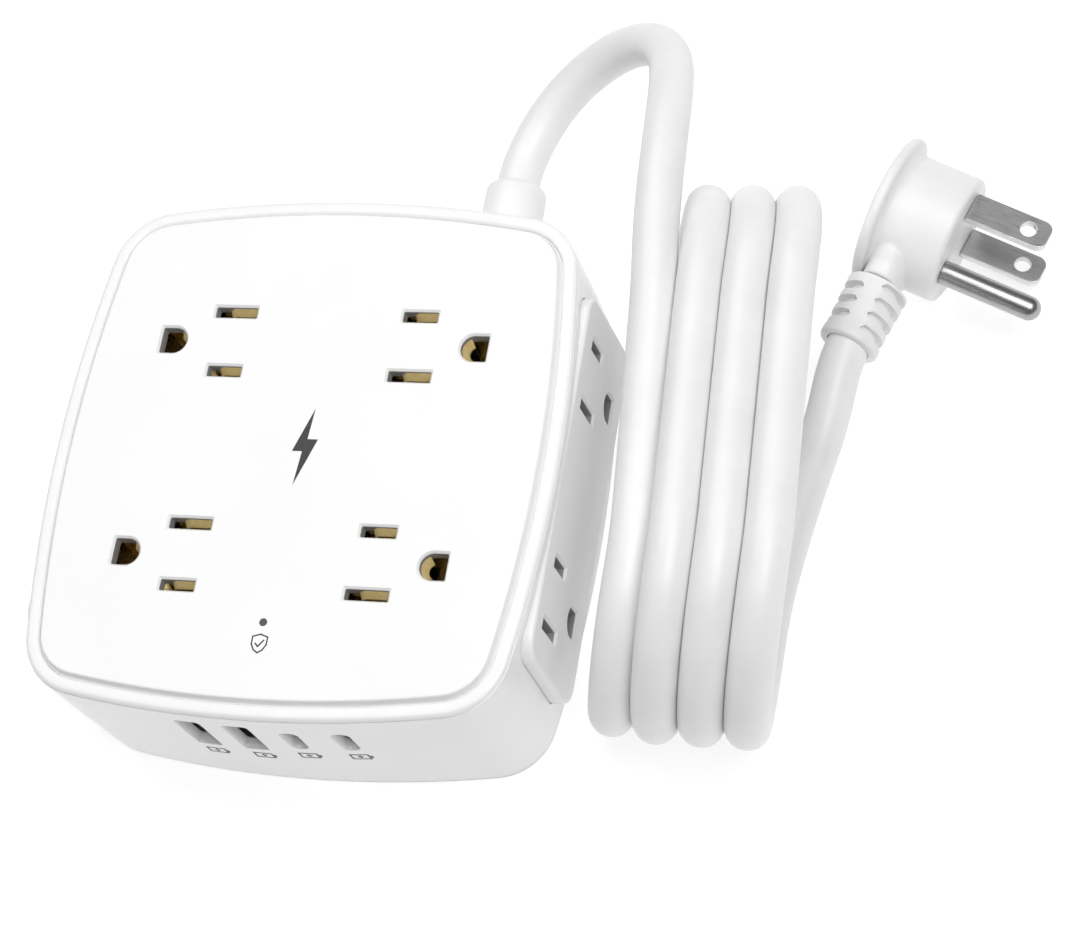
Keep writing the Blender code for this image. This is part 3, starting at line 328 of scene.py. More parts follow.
def corner_centre():
    """The centre of a corner's arc, which touches the arcs of the side and the front."""
    side = Vector((BOX_WIDTH / 2.0 - SIDE_BULGE, 0.0))
    front = Vector((0.0, BOX_DEPTH / 2.0 - FRONT_BULGE))
    side_reach = SIDE_BULGE - CORNER
    front_reach = FRONT_BULGE - CORNER
    across = front - side
    span = across.length
    along = (span ** 2 + side_reach ** 2 - front_reach ** 2) / (2.0 * span)
    unit = across / span
    return side + unit * along + Vector((-unit.y, unit.x)) * math.sqrt(side_reach ** 2 - along ** 2)


def arc(centre, radius, start, end, steps):
    for i in range(steps + 1):
        angle = start + (end - start) * i / steps
        yield Vector((centre[0] + radius * math.cos(angle), centre[1] + radius * math.sin(angle)))


def rounded(centre, reach, radius, steps):
    """A rectangle with round corners, whose centres stand off from the middle by reach."""
    for i, (right, up) in enumerate(((1.0, 1.0), (-1.0, 1.0), (-1.0, -1.0), (1.0, -1.0))):
        middle = (centre[0] + right * reach[0], centre[1] + up * reach[1])
        yield from arc(middle, radius, i * math.pi / 2.0, (i + 1) * math.pi / 2.0, steps)


def at_height(points, z):
    return [Vector((p.x, p.y, z)) for p in points]


def outline(inset, z, bulge_steps=14, corner_steps=16):
    """The outline of the box, which bulges a little on every side, moved inwards by inset."""
    side = Vector((BOX_WIDTH / 2.0 - SIDE_BULGE, 0.0))
    front = Vector((0.0, BOX_DEPTH / 2.0 - FRONT_BULGE))
    corner = corner_centre()
    side_end = math.atan2(corner.y - side.y, corner.x - side.x)
    front_end = math.atan2(corner.y - front.y, corner.x - front.x)
    quarter = list(arc(side, SIDE_BULGE - inset, 0.0, side_end, bulge_steps))[:-1]
    quarter += list(arc(corner, CORNER - inset, side_end, front_end, corner_steps))
    quarter += list(arc(front, FRONT_BULGE - inset, front_end, math.pi / 2.0, bulge_steps))[1:]
    half = quarter + [Vector((-p.x, p.y)) for p in reversed(quarter[:-1])]
    whole = half + [Vector((p.x, -p.y)) for p in reversed(half[1:-1])]
    return at_height(whole, z)


def wall_y(x, inset=0.0):
    """How far back the wall is at x. The front wall is its mirror image."""
    return BOX_DEPTH / 2.0 - FRONT_BULGE + math.sqrt((FRONT_BULGE - inset) ** 2 - x * x)


def draft(z):
    """How far the wall has drawn in at a height below the rim."""
    return 1.3 * (max(RIM_TOP - z, 0.0) / (RIM_TOP - SHELL_BOTTOM)) ** 1.4


# ---------------------------------------------------------------- sockets

def top_places():
    """The four top sockets. Each lies with its slots along y and its ground hole at -y."""
    return [axes(Vector((side * TOP_SOCKET_X, back * SOCKET_Y, BOX_HEIGHT)),
                 (0.0, side, 0.0), (-side, 0.0, 0.0), (0.0, 0.0, 1.0))
            for side in (-1.0, 1.0) for back in (1.0, -1.0)]


def side_places(side):
    """The two sockets in a side panel, with the ground hole below."""
    return [axes(Vector((side * PANEL_X, back * SOCKET_Y, SIDE_SOCKET_Z)),
                 (0.0, side, 0.0), (0.0, 0.0, 1.0), (side, 0.0, 0.0))
            for back in (1.0, -1.0)]


def slot_ring(centre, length, width, z, radius=0.25):
    reach = (width / 2.0 - radius, length / 2.0 - radius)
    return at_height(rounded((centre, 0.0), reach, radius, 3), z)


def ground_ring(shrink, z, corner=0.3):
    """A ground hole: a half circle that ends in a flat side with small corners."""
    radius = GROUND_RADIUS - shrink
    flat = -(GROUND_OFFSET + radius)
    points = list(arc((-radius + corner, flat + corner), corner, math.pi, 1.5 * math.pi, 3))
    points += arc((radius - corner, flat + corner), corner, 1.5 * math.pi, 2.0 * math.pi, 3)
    points += arc((0.0, -GROUND_OFFSET), radius, 0.0, math.pi, 28)
    return at_height(points, z)


# The mouth of a hole: height above the face, and how far its edge has drawn in.
CHAMFER = ((0.6, 0.0), (0.0, 0.0), (-0.34, 0.34), (-0.50, 0.44), (-1.0, SLOT_INSET))


def socket_cutters(bm, place, thickness):
    """The three holes of a socket, each with a chamfer at its mouth."""
    depths = CHAMFER + ((-thickness - 0.6, SLOT_INSET),)
    for centre, length in ((-BLADE_SPACING / 2.0, NEUTRAL_SLOT), (BLADE_SPACING / 2.0, HOT_SLOT)):
        rings = [slot_ring(centre, length - 2.0 * c, SLOT_WIDTH - 2.0 * c, z) for z, c in depths]
        skin(bm, [[place @ p for p in ring] for ring in rings])
    skin(bm, [[place @ p for p in ground_ring(c, z)] for z, c in depths])


def paint_socket_shade(panel, place, reach):
    """Inside the slots, half a millimetre below the face, the walls get a darker matt grey: painted shade for
    the recess.
    """
    panel.data.materials.append(PAINTED_SHADE)
    into = place.inverted()
    outward = place.col[2].to_3d()
    for polygon in panel.data.polygons:
        spot = into @ (polygon.center / MM)
        within = spot.z < -SHADE_DEPTH and abs(spot.x) < reach[0] and abs(spot.y) < reach[1]
        if within and abs(polygon.normal.dot(outward)) < 0.8:
            polygon.material_index = 1


# ---------------------------------------------------------------- housing

def panel_outline(grow, x, steps=8):
    """The outline of a side panel, grown all round by grow."""
    middle = (PANEL_TOP + PANEL_BOTTOM) / 2.0
    reach = (PANEL_LENGTH / 2.0 - PANEL_CORNER, (PANEL_TOP - PANEL_BOTTOM) / 2.0 - PANEL_CORNER)
    return [Vector((x, p.x, p.y)) for p in rounded((0.0, middle), reach, PANEL_CORNER + grow, steps)]


def mouth_ring(x, mouth, corner, grow, y):
    """The outline of a USB opening, grown all round by grow."""
    reach = (mouth[0] / 2.0 - corner, mouth[1] / 2.0 - corner)
    return [Vector((p.x, y, p.y)) for p in rounded((x, USB_Z), reach, corner + grow, 7)]


TO_BACK = ((1.0, 0.0, 0.0), (0.0, 0.0, -1.0), (0.0, 1.0, 0.0))


def four_corners(x, y):
    return [Matrix.Translation((side * x, back * y, 0.0)) for back in (-1.0, 1.0) for side in (-1.0, 1.0)]


def make_shell():
    """The walls and the rim, with openings for the side panels, the ports, the gland and the breaker."""
    profile = [(draft(z), z) for z in (SHELL_BOTTOM, 6.0, 10.0, 15.0, 20.0, 25.0, 30.0, 35.0, 38.0, 39.9)]
    profile += [(0.32, 40.02), (0.32, 40.14), (0.12, 40.24)]
    profile += fillet((0.12, 40.3), (1.0, RIM_TOP), (0.12, RIM_TOP), 6)
    profile += [(1.6, RIM_TOP), (RIM_WIDTH - 0.6, RIM_TOP), (RIM_WIDTH - 0.3, RIM_TOP - 0.09)]
    profile += [(RIM_WIDTH - 0.1, RIM_TOP - 0.28), (RIM_WIDTH, RIM_TOP - 0.55), (RIM_WIDTH, 39.0)]
    profile += [(RIM_WIDTH + 2.2, 39.0), (RIM_WIDTH + 2.2, 37.2), (draft(36.0) + WALL, 36.0)]
    profile += [(draft(20.0) + WALL, 20.0), (draft(SHELL_BOTTOM) + WALL, SHELL_BOTTOM)]
    bm = bmesh.new()
    skin(bm, [outline(inset, z) for inset, z in profile], closed=True)
    shell = piece("outer_shell", bm, GLOSS, ("body_shell",))
    cuts = bmesh.new()
    for side in (-1.0, 1.0):
        skin(cuts, [panel_outline(0.18, side * 44.0), panel_outline(0.18, side * 53.0)])
    corners = (0.6, USB_C_MOUTH[0] / 2.0 - 0.1)
    for mouth, places, corner in zip((USB_A_MOUTH, USB_C_MOUTH), (USB_A_X, USB_C_X), corners):
        for x in places:
            face = -wall_y(x, draft(USB_Z))
            stations = ((face - 1.0, 0.55), (face - 0.05, 0.3), (face + 0.5, 0.0), (face + 4.0, 0.0))
            skin(cuts, [mouth_ring(x, mouth, corner, grow, y) for y, grow in stations])
    gland_hole = (GLAND_X, GLAND_Z, GLAND_RADIUS + 0.25)
    breaker_hole = (BREAKER_X, BREAKER_Z, BUTTON_RADIUS + 1.6)
    for x, z, radius in (gland_hole, breaker_hole):
        turned(cuts, [(radius, 46.0), (radius, 58.0)], axes((x, 0.0, z), *TO_BACK))
    combine(shell, cuts)
    bevel(shell, 0.1, 40.0)


def make_top_panel():
    """The panel with four sockets and the hole for the light. Its edge drops into a groove along the rim."""
    inset = RIM_WIDTH + 0.08
    under = BOX_HEIGHT - TOP_PANEL_THICKNESS
    profile = [(inset, under), (inset, 40.3), (inset + 0.22, 40.5), (inset + 0.42, 40.9)]
    profile += [(inset + 0.56, 41.4), (inset + 0.66, 41.75), (inset + 0.8, 41.93), (inset + 1.0, 41.985)]
    profile += [(inset + 1.3, BOX_HEIGHT)]
    bm = bmesh.new()
    skin(bm, [outline(edge, z) for edge, z in profile])
    panel = piece("socket_panel_top", bm, PANEL, ("top_panel",))
    cuts = bmesh.new()
    for place in top_places():
        socket_cutters(cuts, place, TOP_PANEL_THICKNESS)
    turned(cuts, [(0.75, BOX_HEIGHT + 0.5), (0.54, BOX_HEIGHT - 0.2), (0.5, under - 1.0)],
           Matrix.Translation((0.0, LIGHT_Y, 0.0)), 24)
    combine(panel, cuts, sharp=12.0)
    paint_socket_shade(panel, Matrix.Translation((0.0, 0.0, BOX_HEIGHT)), (42.0, 32.0))
    bevel(panel, 0.06)


def make_contact_leaves():
    """The flared ends of the contacts: a leaf at the back of each slot, half a cone in each ground hole."""
    bm = bmesh.new()
    for place in top_places():
        turn = place.to_3x3()
        back = math.copysign(1.0, (turn @ Vector((1.0, 0.0, 0.0))).y)
        right = math.copysign(1.0, (turn @ Vector((0.0, 1.0, 0.0))).x)
        for centre, length in ((-BLADE_SPACING / 2.0, NEUTRAL_SLOT), (BLADE_SPACING / 2.0, HOT_SLOT)):
            rings = []
            for y, drop in ((-0.20 * length, 0.9), (-0.08 * length, 0.0), (length / 2.0 - 0.5, 0.0)):
                section = ((1.06, -0.85), (1.06, -1.2), (0.05, -2.75), (0.05, -2.4))
                rings.append([place @ Vector((centre + back * x, right * y, z - drop)) for x, z in section])
            skin(bm, rings)
        rings = []
        for i in range(25):
            angle = math.pi * (0.14 + 0.72 * i / 24.0)
            section = ((GROUND_RADIUS - 0.52, -1.3), (GROUND_RADIUS - 0.52, -1.7), (1.6, -3.3), (1.6, -2.9))
            rings.append([place @ Vector((r * math.cos(angle), r * math.sin(angle) - GROUND_OFFSET, z))
                          for r, z in section])
        skin(bm, rings)
    piece("contact_leaves", bm, CONTACT)


def make_side_panel(side, name, node):
    """A panel with two sockets that stands a little out of its wall."""
    stations = [(PANEL_X - SIDE_PANEL_THICKNESS, 0.0), (PANEL_X - 0.7, 0.0)]
    stations += [(x, -g) for g, x in fillet((0.0, PANEL_X - 0.7), (0.7, PANEL_X), (0.0, PANEL_X), 5)]
    stations += [(PANEL_X, -1.1)]
    bm = bmesh.new()
    skin(bm, [panel_outline(grow, side * x) for x, grow in stations])
    panel = piece(name, bm, GLOSS, (node,))
    cuts = bmesh.new()
    for place in side_places(side):
        socket_cutters(cuts, place, SIDE_PANEL_THICKNESS)
    combine(panel, cuts, sharp=20.0)
    middle = Vector((side * PANEL_X, 0.0, (PANEL_TOP + PANEL_BOTTOM) / 2.0))
    face = axes(middle, (0.0, side, 0.0), (0.0, 0.0, 1.0), (side, 0.0, 0.0))
    paint_socket_shade(panel, face, (34.0, 12.5))
    bevel(panel, 0.06)


def make_base():
    """The base plate with a bowed edge, recesses for the screws and a row of vents."""
    low = 1.3
    top = 3.7
    edge = draft(SHELL_BOTTOM)
    profile = [(9.0, low), (5.2, low)]
    profile += fillet((5.0, low), (edge + 0.1, top - 0.25), (edge + 0.1, low), 8)
    profile += [(edge + 0.3, top), (5.2, top), (5.2, 6.2), (6.5, 6.2), (6.5, 3.6), (9.0, 3.6)]
    bm = bmesh.new()
    skin(bm, [outline(inset, z) for inset, z in profile])
    base = piece("base_plate", bm, SATIN, ("base_cover",))
    cuts = bmesh.new()
    for place in four_corners(SCREW_X, SCREW_Y):
        turned(cuts, [(3.3, 0.5), (3.05, 1.6), (2.9, 1.8), (2.9, 5.0)], place, 32)
    for i in range(7):
        y = -12.0 + 4.0 * i
        block(cuts, (-16.0, y - 0.7, 0.5), (16.0, y + 0.7, 2.0))
    combine(base, cuts)
    bevel(base, 0.12, 40.0)


def make_feet():
    profile = [(1.5, 0.22), (3.0, 0.18), (3.3, 0.02), (4.4, 0.0), (4.75, 0.12), (5.0, 0.4), (5.0, 1.0)]
    for i, place in enumerate(four_corners(FOOT_X, FOOT_Y), 1):
        bm = bmesh.new()
        turned(bm, profile, place, 48)
        piece(f"foot_{i}", bm, RUBBER, (f"rubber_foot_{i}",))


def make_screws():
    """Case screws with a cross recess, each turned to its own angle."""
    profile = [(2.0, 2.62), (2.35, 2.75), (2.6, 3.1), (2.6, 4.2), (1.4, 4.2), (1.4, 15.0), (0.4, 16.0)]
    for i, place in enumerate(four_corners(SCREW_X, SCREW_Y), 1):
        bm = bmesh.new()
        turned(bm, profile, place, 32)
        screw = piece(f"screw_{i}", bm, STEEL, (f"case_screw_{i}",))
        cross = bmesh.new()
        turn = place @ Matrix.Rotation(0.7 * i, 4, "Z")
        block(cross, (-1.5, -0.3, 2.0), (1.5, 0.3, 3.7), turn)
        block(cross, (-0.3, -1.5, 2.0), (0.3, 1.5, 3.7), turn)
        combine(screw, cross)


# ---------------------------------------------------------------- USB ports, breaker, marks

def make_usb():
    """The ports: a steel shell, a tongue and the contact strips on one face of the tongue."""
    front = PORT_FRONT_Y
    back = front + PORT_LENGTH
    stations = ((0.15, back), (0.15, front + 0.1), (0.05, front), (-0.15, front + 0.15), (-0.25, front + 0.6),
                (-0.25, back - 1.0))
    kinds = (
        ("a", USB_A_MOUTH, USB_A_X, 0.6, (0.95, 5.2), -0.9, (4, 2.3, 0.5)),
        ("c", USB_C_MOUTH, USB_C_X, USB_C_MOUTH[0] / 2.0 - 0.05, (0.38, 3.3), 0.0, (6, 0.95, 0.22)),
    )
    for kind, mouth, places, corner, (thin, tall), shift, (rows, pitch, wide) in kinds:
        for i, x in enumerate(places, 1):
            bm = bmesh.new()
            skin(bm, [mouth_ring(x, mouth, corner, grow, y) for grow, y in stations])
            piece(f"port_{kind}_{i}", bm, STEEL, (f"usb_{kind}_port_{i}",))
            middle = x + shift
            bm = bmesh.new()
            block(bm, (middle - thin, front + 1.6, USB_Z - tall), (middle + thin, back - 1.3, USB_Z + tall))
            tongue = piece(f"tongue_{kind}_{i}", bm, TONGUE, (f"usb_{kind}_tongue_{i}",))
            bevel(tongue, 0.15)
            strips = bmesh.new()
            for k in range(rows):
                z = USB_Z + (k - (rows - 1) / 2.0) * pitch
                low = (middle + thin - 0.02, front + 2.2, z - wide)
                high = (middle + thin + 0.05, back - 3.0, z + wide)
                block(strips, low, high)
            piece(f"contacts_{kind}_{i}", strips, BRASS)


def make_breaker():
    """The collar in the back wall and the button that slides in it."""
    back = BREAKER_WALL_Y + 0.9
    inner, outer, lip = BUTTON_RADIUS + 0.3, BUTTON_RADIUS + 1.3, BUTTON_RADIUS + 2.6
    wall = BREAKER_WALL_Y + 0.3
    profile = [(inner, 47.3), (outer, 47.3), (outer, wall), (lip - 0.1, wall), (lip, wall + 0.1)]
    profile += [(lip - 0.05, back - 0.25), (lip - 0.3, back), (inner + 0.25, back), (inner, back - 0.25)]
    bm = bmesh.new()
    turned(bm, profile, axes((BREAKER_X, 0.0, BREAKER_Z), *TO_BACK), 64, True)
    piece("reset_collar", bm, BLACK, ("breaker_collar",))
    tip = back + 0.45
    profile = [(BUTTON_RADIUS, 47.6), (BUTTON_RADIUS, tip - 0.5)]
    profile += fillet((BUTTON_RADIUS, tip - 0.5), (BUTTON_RADIUS - 0.5, tip), (BUTTON_RADIUS, tip), 4)[1:]
    profile += [(1.6, tip - 0.05), (0.6, tip - 0.12)]
    bm = bmesh.new()
    turned(bm, profile, axes((BREAKER_X, 0.0, BREAKER_Z), *TO_BACK), 48)
    piece("reset_push_button", bm, BLACK, ("reset_button",), "button")


def flat_mark(name, shapes, lift):
    """Thin printed shapes. The lift carries a flat point, in millimetres, to a height above the surface."""
    bm = bmesh.new()
    for shape in shapes:
        low = [bm.verts.new(lift(x, y, 0.0)) for x, y in shape]
        high = [bm.verts.new(lift(x, y, 0.03)) for x, y in shape]
        bm.faces.new(high)
        bm.faces.new(list(reversed(low)))
        for i in range(len(shape)):
            j = (i + 1) % len(shape)
            bm.faces.new((low[i], low[j], high[j], high[i]))
    return piece(name, bm, PRINT)


def stroke(points, width, closed=False):
    """Quads that follow a line at a constant width."""
    quads = []
    ends = list(zip(points, points[1:]))
    if closed:
        ends.append((points[-1], points[0]))
    for a, b in ends:
        dx, dy = b[0] - a[0], b[1] - a[1]
        size = math.hypot(dx, dy)
        nx, ny = -dy / size * width / 2.0, dx / size * width / 2.0
        ex, ey = dx / size * width * 0.3, dy / size * width * 0.3
        quads.append([(a[0] + nx - ex, a[1] + ny - ey), (a[0] - nx - ex, a[1] - ny - ey),
                      (b[0] - nx + ex, b[1] - ny + ey), (b[0] + nx + ex, b[1] + ny + ey)])
    return quads


# The corners of a lightning bolt that is two units high.
BOLT = [(0.15, 1.0), (-0.55, -0.12), (-0.08, -0.12), (-0.2, -1.0), (0.55, 0.2), (0.06, 0.2)]


def make_marks():
    """A bolt on the top, a shield with a tick at the light, and a battery with a bolt under each port."""
    def on_top(x, y, up):
        return Vector((x, y, BOX_HEIGHT + up))

    bolt = [(1.0 + 4.4 * x, 0.6 + 8.0 * y) for x, y in BOLT]
    flat_mark("bolt_symbol", [bolt], on_top)
    shield = [(-1.5, 1.3), (0.0, 1.8), (1.5, 1.3), (1.5, -0.2)]
    shield += [(0.9, -1.3), (0.0, -1.9), (-0.9, -1.3), (-1.5, -0.2)]
    shield = [(x, y - 39.6) for x, y in shield]
    tick = [(-0.75, -39.65), (-0.15, -40.25), (0.85, -38.95)]
    flat_mark("status_symbol", stroke(shield, 0.28, True) + stroke(tick, 0.3), on_top)

    def on_front(x, z, out):
        return Vector((x, -wall_y(x, draft(z)) - out - 0.01, z))

    for i, x in enumerate(USB_A_X + USB_C_X, 1):
        z = 18.6 if i < 3 else 20.4
        case = [(x - 1.8, z - 1.3), (x + 1.8, z - 1.3), (x + 1.8, z + 1.3), (x - 1.8, z + 1.3)]
        knob = [(x + 2.1, z - 0.6), (x + 2.5, z - 0.6), (x + 2.5, z + 0.6), (x + 2.1, z + 0.6)]
        bolt = [(x + 1.3 * u, z + 0.95 * v) for u, v in BOLT]
        flat_mark(f"charge_symbol_{i}", [*stroke(case, 0.34, True), knob, bolt], on_front)


# ---------------------------------------------------------------- lead

# Points along the middle of the lead, from the gland to the hank and from the hank to the plug.
EXIT_ROUTE = [
    (25.6, 70.0, 20.0), (26.0, 74.5, 20.1), (28.4, 81.2, 21.1), (33.0, 87.7, 23.6), (39.8, 92.3, 27.6),
    (48.0, 93.6, 33.2), (56.0, 90.6, 39.7), (62.0, 83.0, 46.8), (65.2, 72.5, 52.9), (66.7, 61.0, 56.2),
    (67.5, 50.0, 57.2), (68.1, 40.0, 56.6),
]
PLUG_ROUTE = [
    (85.55, -18.4, 4.35), (86.0, -10.0, 4.4), (87.2, -2.0, 5.2), (89.1, 6.0, 7.4), (91.5, 14.0, 10.4),
    (94.0, 22.0, 13.4),
]


def spline(points, spacing):
    """A smooth line through the points, in even steps."""
    knots = [Vector(p) for p in points]
    knots = [2.0 * knots[0] - knots[1], *knots, 2.0 * knots[-1] - knots[-2]]
    fine = []
    for a, b, c, d in zip(knots, knots[1:], knots[2:], knots[3:]):
        for i in range(16):
            t = i / 16.0
            fine.append(0.5 * (2.0 * b + (c - a) * t + (2.0 * a - 5.0 * b + 4.0 * c - d) * t * t
                               + (3.0 * b - a - 3.0 * c + d) * t ** 3))
    fine.append(knots[-2])
    return even(fine, spacing)


def even(fine, spacing):
    """The same line in steps of equal length."""
    lengths = [0.0]
    for a, b in zip(fine, fine[1:]):
        lengths.append(lengths[-1] + (b - a).length)
    count = max(2, round(lengths[-1] / spacing))
    route = []
    step = 0
    for i in range(count + 1):
        at = lengths[-1] * i / count
        while step < len(fine) - 2 and lengths[step + 1] < at:
            step += 1
        share = (at - lengths[step]) / (lengths[step + 1] - lengths[step])
        route.append(fine[step].lerp(fine[step + 1], min(share, 1.0)))
    return route


def plug_matrix():
    """The plug's place: x out of its face, y towards the ground pin, z from blade to blade."""
    yaw, pitch, roll = PLUG_TURN
    forward = Vector((math.cos(pitch) * math.cos(yaw), math.cos(pitch) * math.sin(yaw), -math.sin(pitch)))
    level = forward.cross(Vector((0.0, 0.0, 1.0))).normalized()
    down = forward.cross(level)
    to_pin = math.cos(roll) * level - math.sin(roll) * down
    return axes(Vector(PLUG_PLACE), forward, to_pin, forward.cross(to_pin))


PLUG = plug_matrix()
CONTACTS = PLUG @ Matrix.Rotation(CONTACT_TURN, 4, "X")
RELIEF = PLUG @ axes((RELIEF_X, 0.0, 0.0), (0.0, 0.0, 1.0), (1.0, 0.0, 0.0), (0.0, 1.0, 0.0))


def first_turn():
    """Points along the first turn, which runs a little lower than the others, from the top to the floor."""
    far_x = HANK_FAR_X - 1.5 * PITCH
    near_x = HANK_NEAR_X - 1.5 * PITCH
    top = CORD / 2.0 + 2.0 * FIRST_FOLD_HALF_HEIGHT
    points = []
    for i in range(4):
        share = i / 4.0
        y = HANK_FAR_Y + (HANK_NEAR_Y - HANK_FAR_Y) * share
        points.append((far_x + (near_x - far_x) * share, y, top + FIRST_TURN_DROP * (1.0 - share) ** 1.5))
    for i in range(7):
        angle = math.pi * i / 6.0
        x = near_x - NEAR_LEAN * (1.0 - math.cos(angle)) / 2.0 - 0.35 * math.sin(angle)
        y = HANK_NEAR_Y - FIRST_FOLD_REACH * math.sin(angle)
        points.append((x, y, CORD / 2.0 + FIRST_FOLD_HALF_HEIGHT * (1.0 + math.cos(angle))))
    return points


def hank_line():
    """The other turns, from the end of the first near fold: along the floor, up, over the top and down."""
    middle = CORD / 2.0 + FOLD
    line = []
    for k in range(1, RUNS):
        step = PITCH * (k - (RUNS - 1) / 2.0)
        far = HANK_FAR_X + step
        near = HANK_NEAR_X + step
        low_near = near - PITCH - NEAR_LEAN
        low_far = far - FAR_LEAN
        for i in range(1, 12):
            share = i / 12.0
            line.append(Vector((low_near + (low_far - low_near) * share,
                                HANK_NEAR_Y + (HANK_FAR_Y - HANK_NEAR_Y) * share, middle - FOLD)))
        for i in range(32):
            angle = math.pi * (1.0 - i / 32.0)
            line.append(Vector((far - FAR_LEAN * (1.0 - math.cos(angle)) / 2.0,
                                HANK_FAR_Y + FOLD * math.sin(angle), middle + FOLD * math.cos(angle))))
        for i in range(12):
            share = i / 12.0
            line.append(Vector((far + (near - far) * share, HANK_FAR_Y + (HANK_NEAR_Y - HANK_FAR_Y) * share,
                                middle + FOLD)))
        for i in range(33):
            angle = math.pi * i / 32.0
            line.append(Vector((near - NEAR_LEAN * (1.0 - math.cos(angle)) / 2.0,
                                HANK_NEAR_Y - FOLD * math.sin(angle), middle + FOLD * math.cos(angle))))
    return line


def make_cord():
    """The whole lead as one cord, from inside the gland to inside the plug's relief."""
    gland_end = Vector((GLAND_X, GLAND_TIP_Y + GAP, GLAND_Z))
    relief = [RELIEF @ Vector((0.0, 0.0, RELIEF_END + d)) for d in (3.0, 1.5, -1.0)]
    line = [gland_end - Vector((0.0, 1.3, 0.0))]
    line += spline(EXIT_ROUTE + first_turn(), CORD_STEP) + hank_line()
    line += spline(PLUG_ROUTE + relief[:2], CORD_STEP)[1:] + [relief[2]]
    line = even(line, CORD_STEP)
    for _ in range(4):
        inner = [(a + 2.0 * b + c) / 4.0 for a, b, c in zip(line[1:], line[2:], line[3:])]
        line = [line[0], line[1], *inner, line[-1]]
    length = sum((b - a).length for a, b in zip(line, line[1:])) * MM
    curve = bpy.data.curves.new("mains_cord", "CURVE")
    curve.dimensions = "3D"
    curve.bevel_depth = CORD / 2.0 * MM
    curve.bevel_resolution = 8
    curve.use_fill_caps = True
    route = curve.splines.new("POLY")
    route.points.add(len(line) - 1)
    for stop, point in zip(route.points, line):
        stop.co = (*(point * MM), 1.0)
    route.use_smooth = True
    cord = bpy.data.objects.new("mains_cord", curve)
    scene.collection.objects.link(cord)
    curve.materials.append(VINYL)
    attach(cord, "box")
    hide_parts("cord_exit_lead", "cord_hank", "cord_plug_lead")


def make_gland():
    """The short bush in the back wall, with a flange inside and a round nose."""
    place = axes((GLAND_X, 0.0, GLAND_Z), *TO_BACK)
    profile = [(4.6, 44.0), (8.4, 44.0), (8.4, 46.5), (GLAND_RADIUS, 46.6), (GLAND_RADIUS, 51.0)]
    profile += [(GLAND_RADIUS, 56.0)]
    profile += [(GLAND_RADIUS - 0.03, 62.0), (GLAND_RADIUS - 0.08, GLAND_TIP_Y - 2.0)]
    profile += fillet((GLAND_RADIUS - 0.1, GLAND_TIP_Y - 1.3), (GLAND_RADIUS - 1.3, GLAND_TIP_Y),
                      (GLAND_RADIUS - 0.1, GLAND_TIP_Y), 7)
    profile += [(4.5, GLAND_TIP_Y), (4.37, GLAND_TIP_Y - 0.2), (4.34, GLAND_TIP_Y - 1.4)]
    bm = bmesh.new()
    turned(bm, profile, place, 72)
    return piece("cord_grommet", bm, MOULD, ("cord_gland",))


# ---------------------------------------------------------------- plug

FORWARD = ((0.0, 1.0, 0.0), (0.0, 0.0, 1.0), (1.0, 0.0, 0.0))


def make_plug_body():
    """The round body with a neck towards the relief, melted into one moulding."""
    bm = bmesh.new()
    place = PLUG @ axes((0.0, PLUG_CENTRE, 0.0), *FORWARD)
    profile = [(PLUG_RADIUS, -PLUG_DEPTH + 0.1), (PLUG_RADIUS, -0.9)]
    profile += fillet((PLUG_RADIUS, -0.9), (PLUG_RADIUS - 0.9, -0.05), (PLUG_RADIUS, -0.05), 4)[1:]
    turned(bm, profile, place, 96)
    body = piece("plug_shell", bm, MOULD, ("plug_body",))
    neck = bmesh.new()
    rings = []
    for y, half_width in ((6.0, 9.4), (12.0, 8.9), (15.0, 8.0), (17.0, 7.1), (RELIEF_SHOULDER - 0.15, 6.5)):
        ring = []
        for i in range(48):
            angle = 2.0 * math.pi * (i + 0.5) / 48
            across = math.copysign(abs(math.cos(angle)) ** 0.8, math.cos(angle)) * half_width
            along = math.copysign(abs(math.sin(angle)) ** 0.8, math.sin(angle)) * NECK_HALF_THICKNESS
            ring.append(RELIEF @ Vector((across, along, y)))
        rings.append(ring)
    skin(neck, rings)
    combine(body, neck, "UNION")
    remesh = body.modifiers.new("remesh", "REMESH")
    remesh.mode = "VOXEL"
    remesh.voxel_size = 0.32 * MM
    soften = body.modifiers.new("soften", "SMOOTH")
    soften.iterations = 7
    soften.factor = 0.5
    apply_modifiers(body)
    body.data.materials.clear()
    body.data.materials.append(MOULD)
    body.data.shade_smooth()
    return body


def make_plug_cap():
    """The round cap behind the body, which meets it in a soft groove."""
    place = PLUG @ axes((0.0, PLUG_CENTRE, 0.0), *FORWARD)
    back = -PLUG_DEPTH - 0.05
    end = back - CAP_THICKNESS - 0.25
    profile = [(CAP_RADIUS - 7.0, end), (CAP_RADIUS - 3.2, end + 0.12), (CAP_RADIUS - 1.4, end + 0.5)]
    profile += fillet((CAP_RADIUS - 1.0, end + 0.65), (CAP_RADIUS, end + 1.7), (CAP_RADIUS, end + 0.65), 4)
    profile += fillet((CAP_RADIUS, back - 0.9), (CAP_RADIUS - 0.8, back - 0.1), (CAP_RADIUS, back - 0.1), 4)
    profile += [(PLUG_RADIUS + 1.75, back - 0.08)]
    profile += fillet((PLUG_RADIUS + 1.6, back - 0.06), (PLUG_RADIUS + 0.06, back + 1.6),
                      (PLUG_RADIUS + 0.06, back - 0.06), 6)
    bm = bmesh.new()
    turned(bm, profile, place, 96)
    return piece("plug_rear_cap", bm, MOULD, ("plug_cap",))


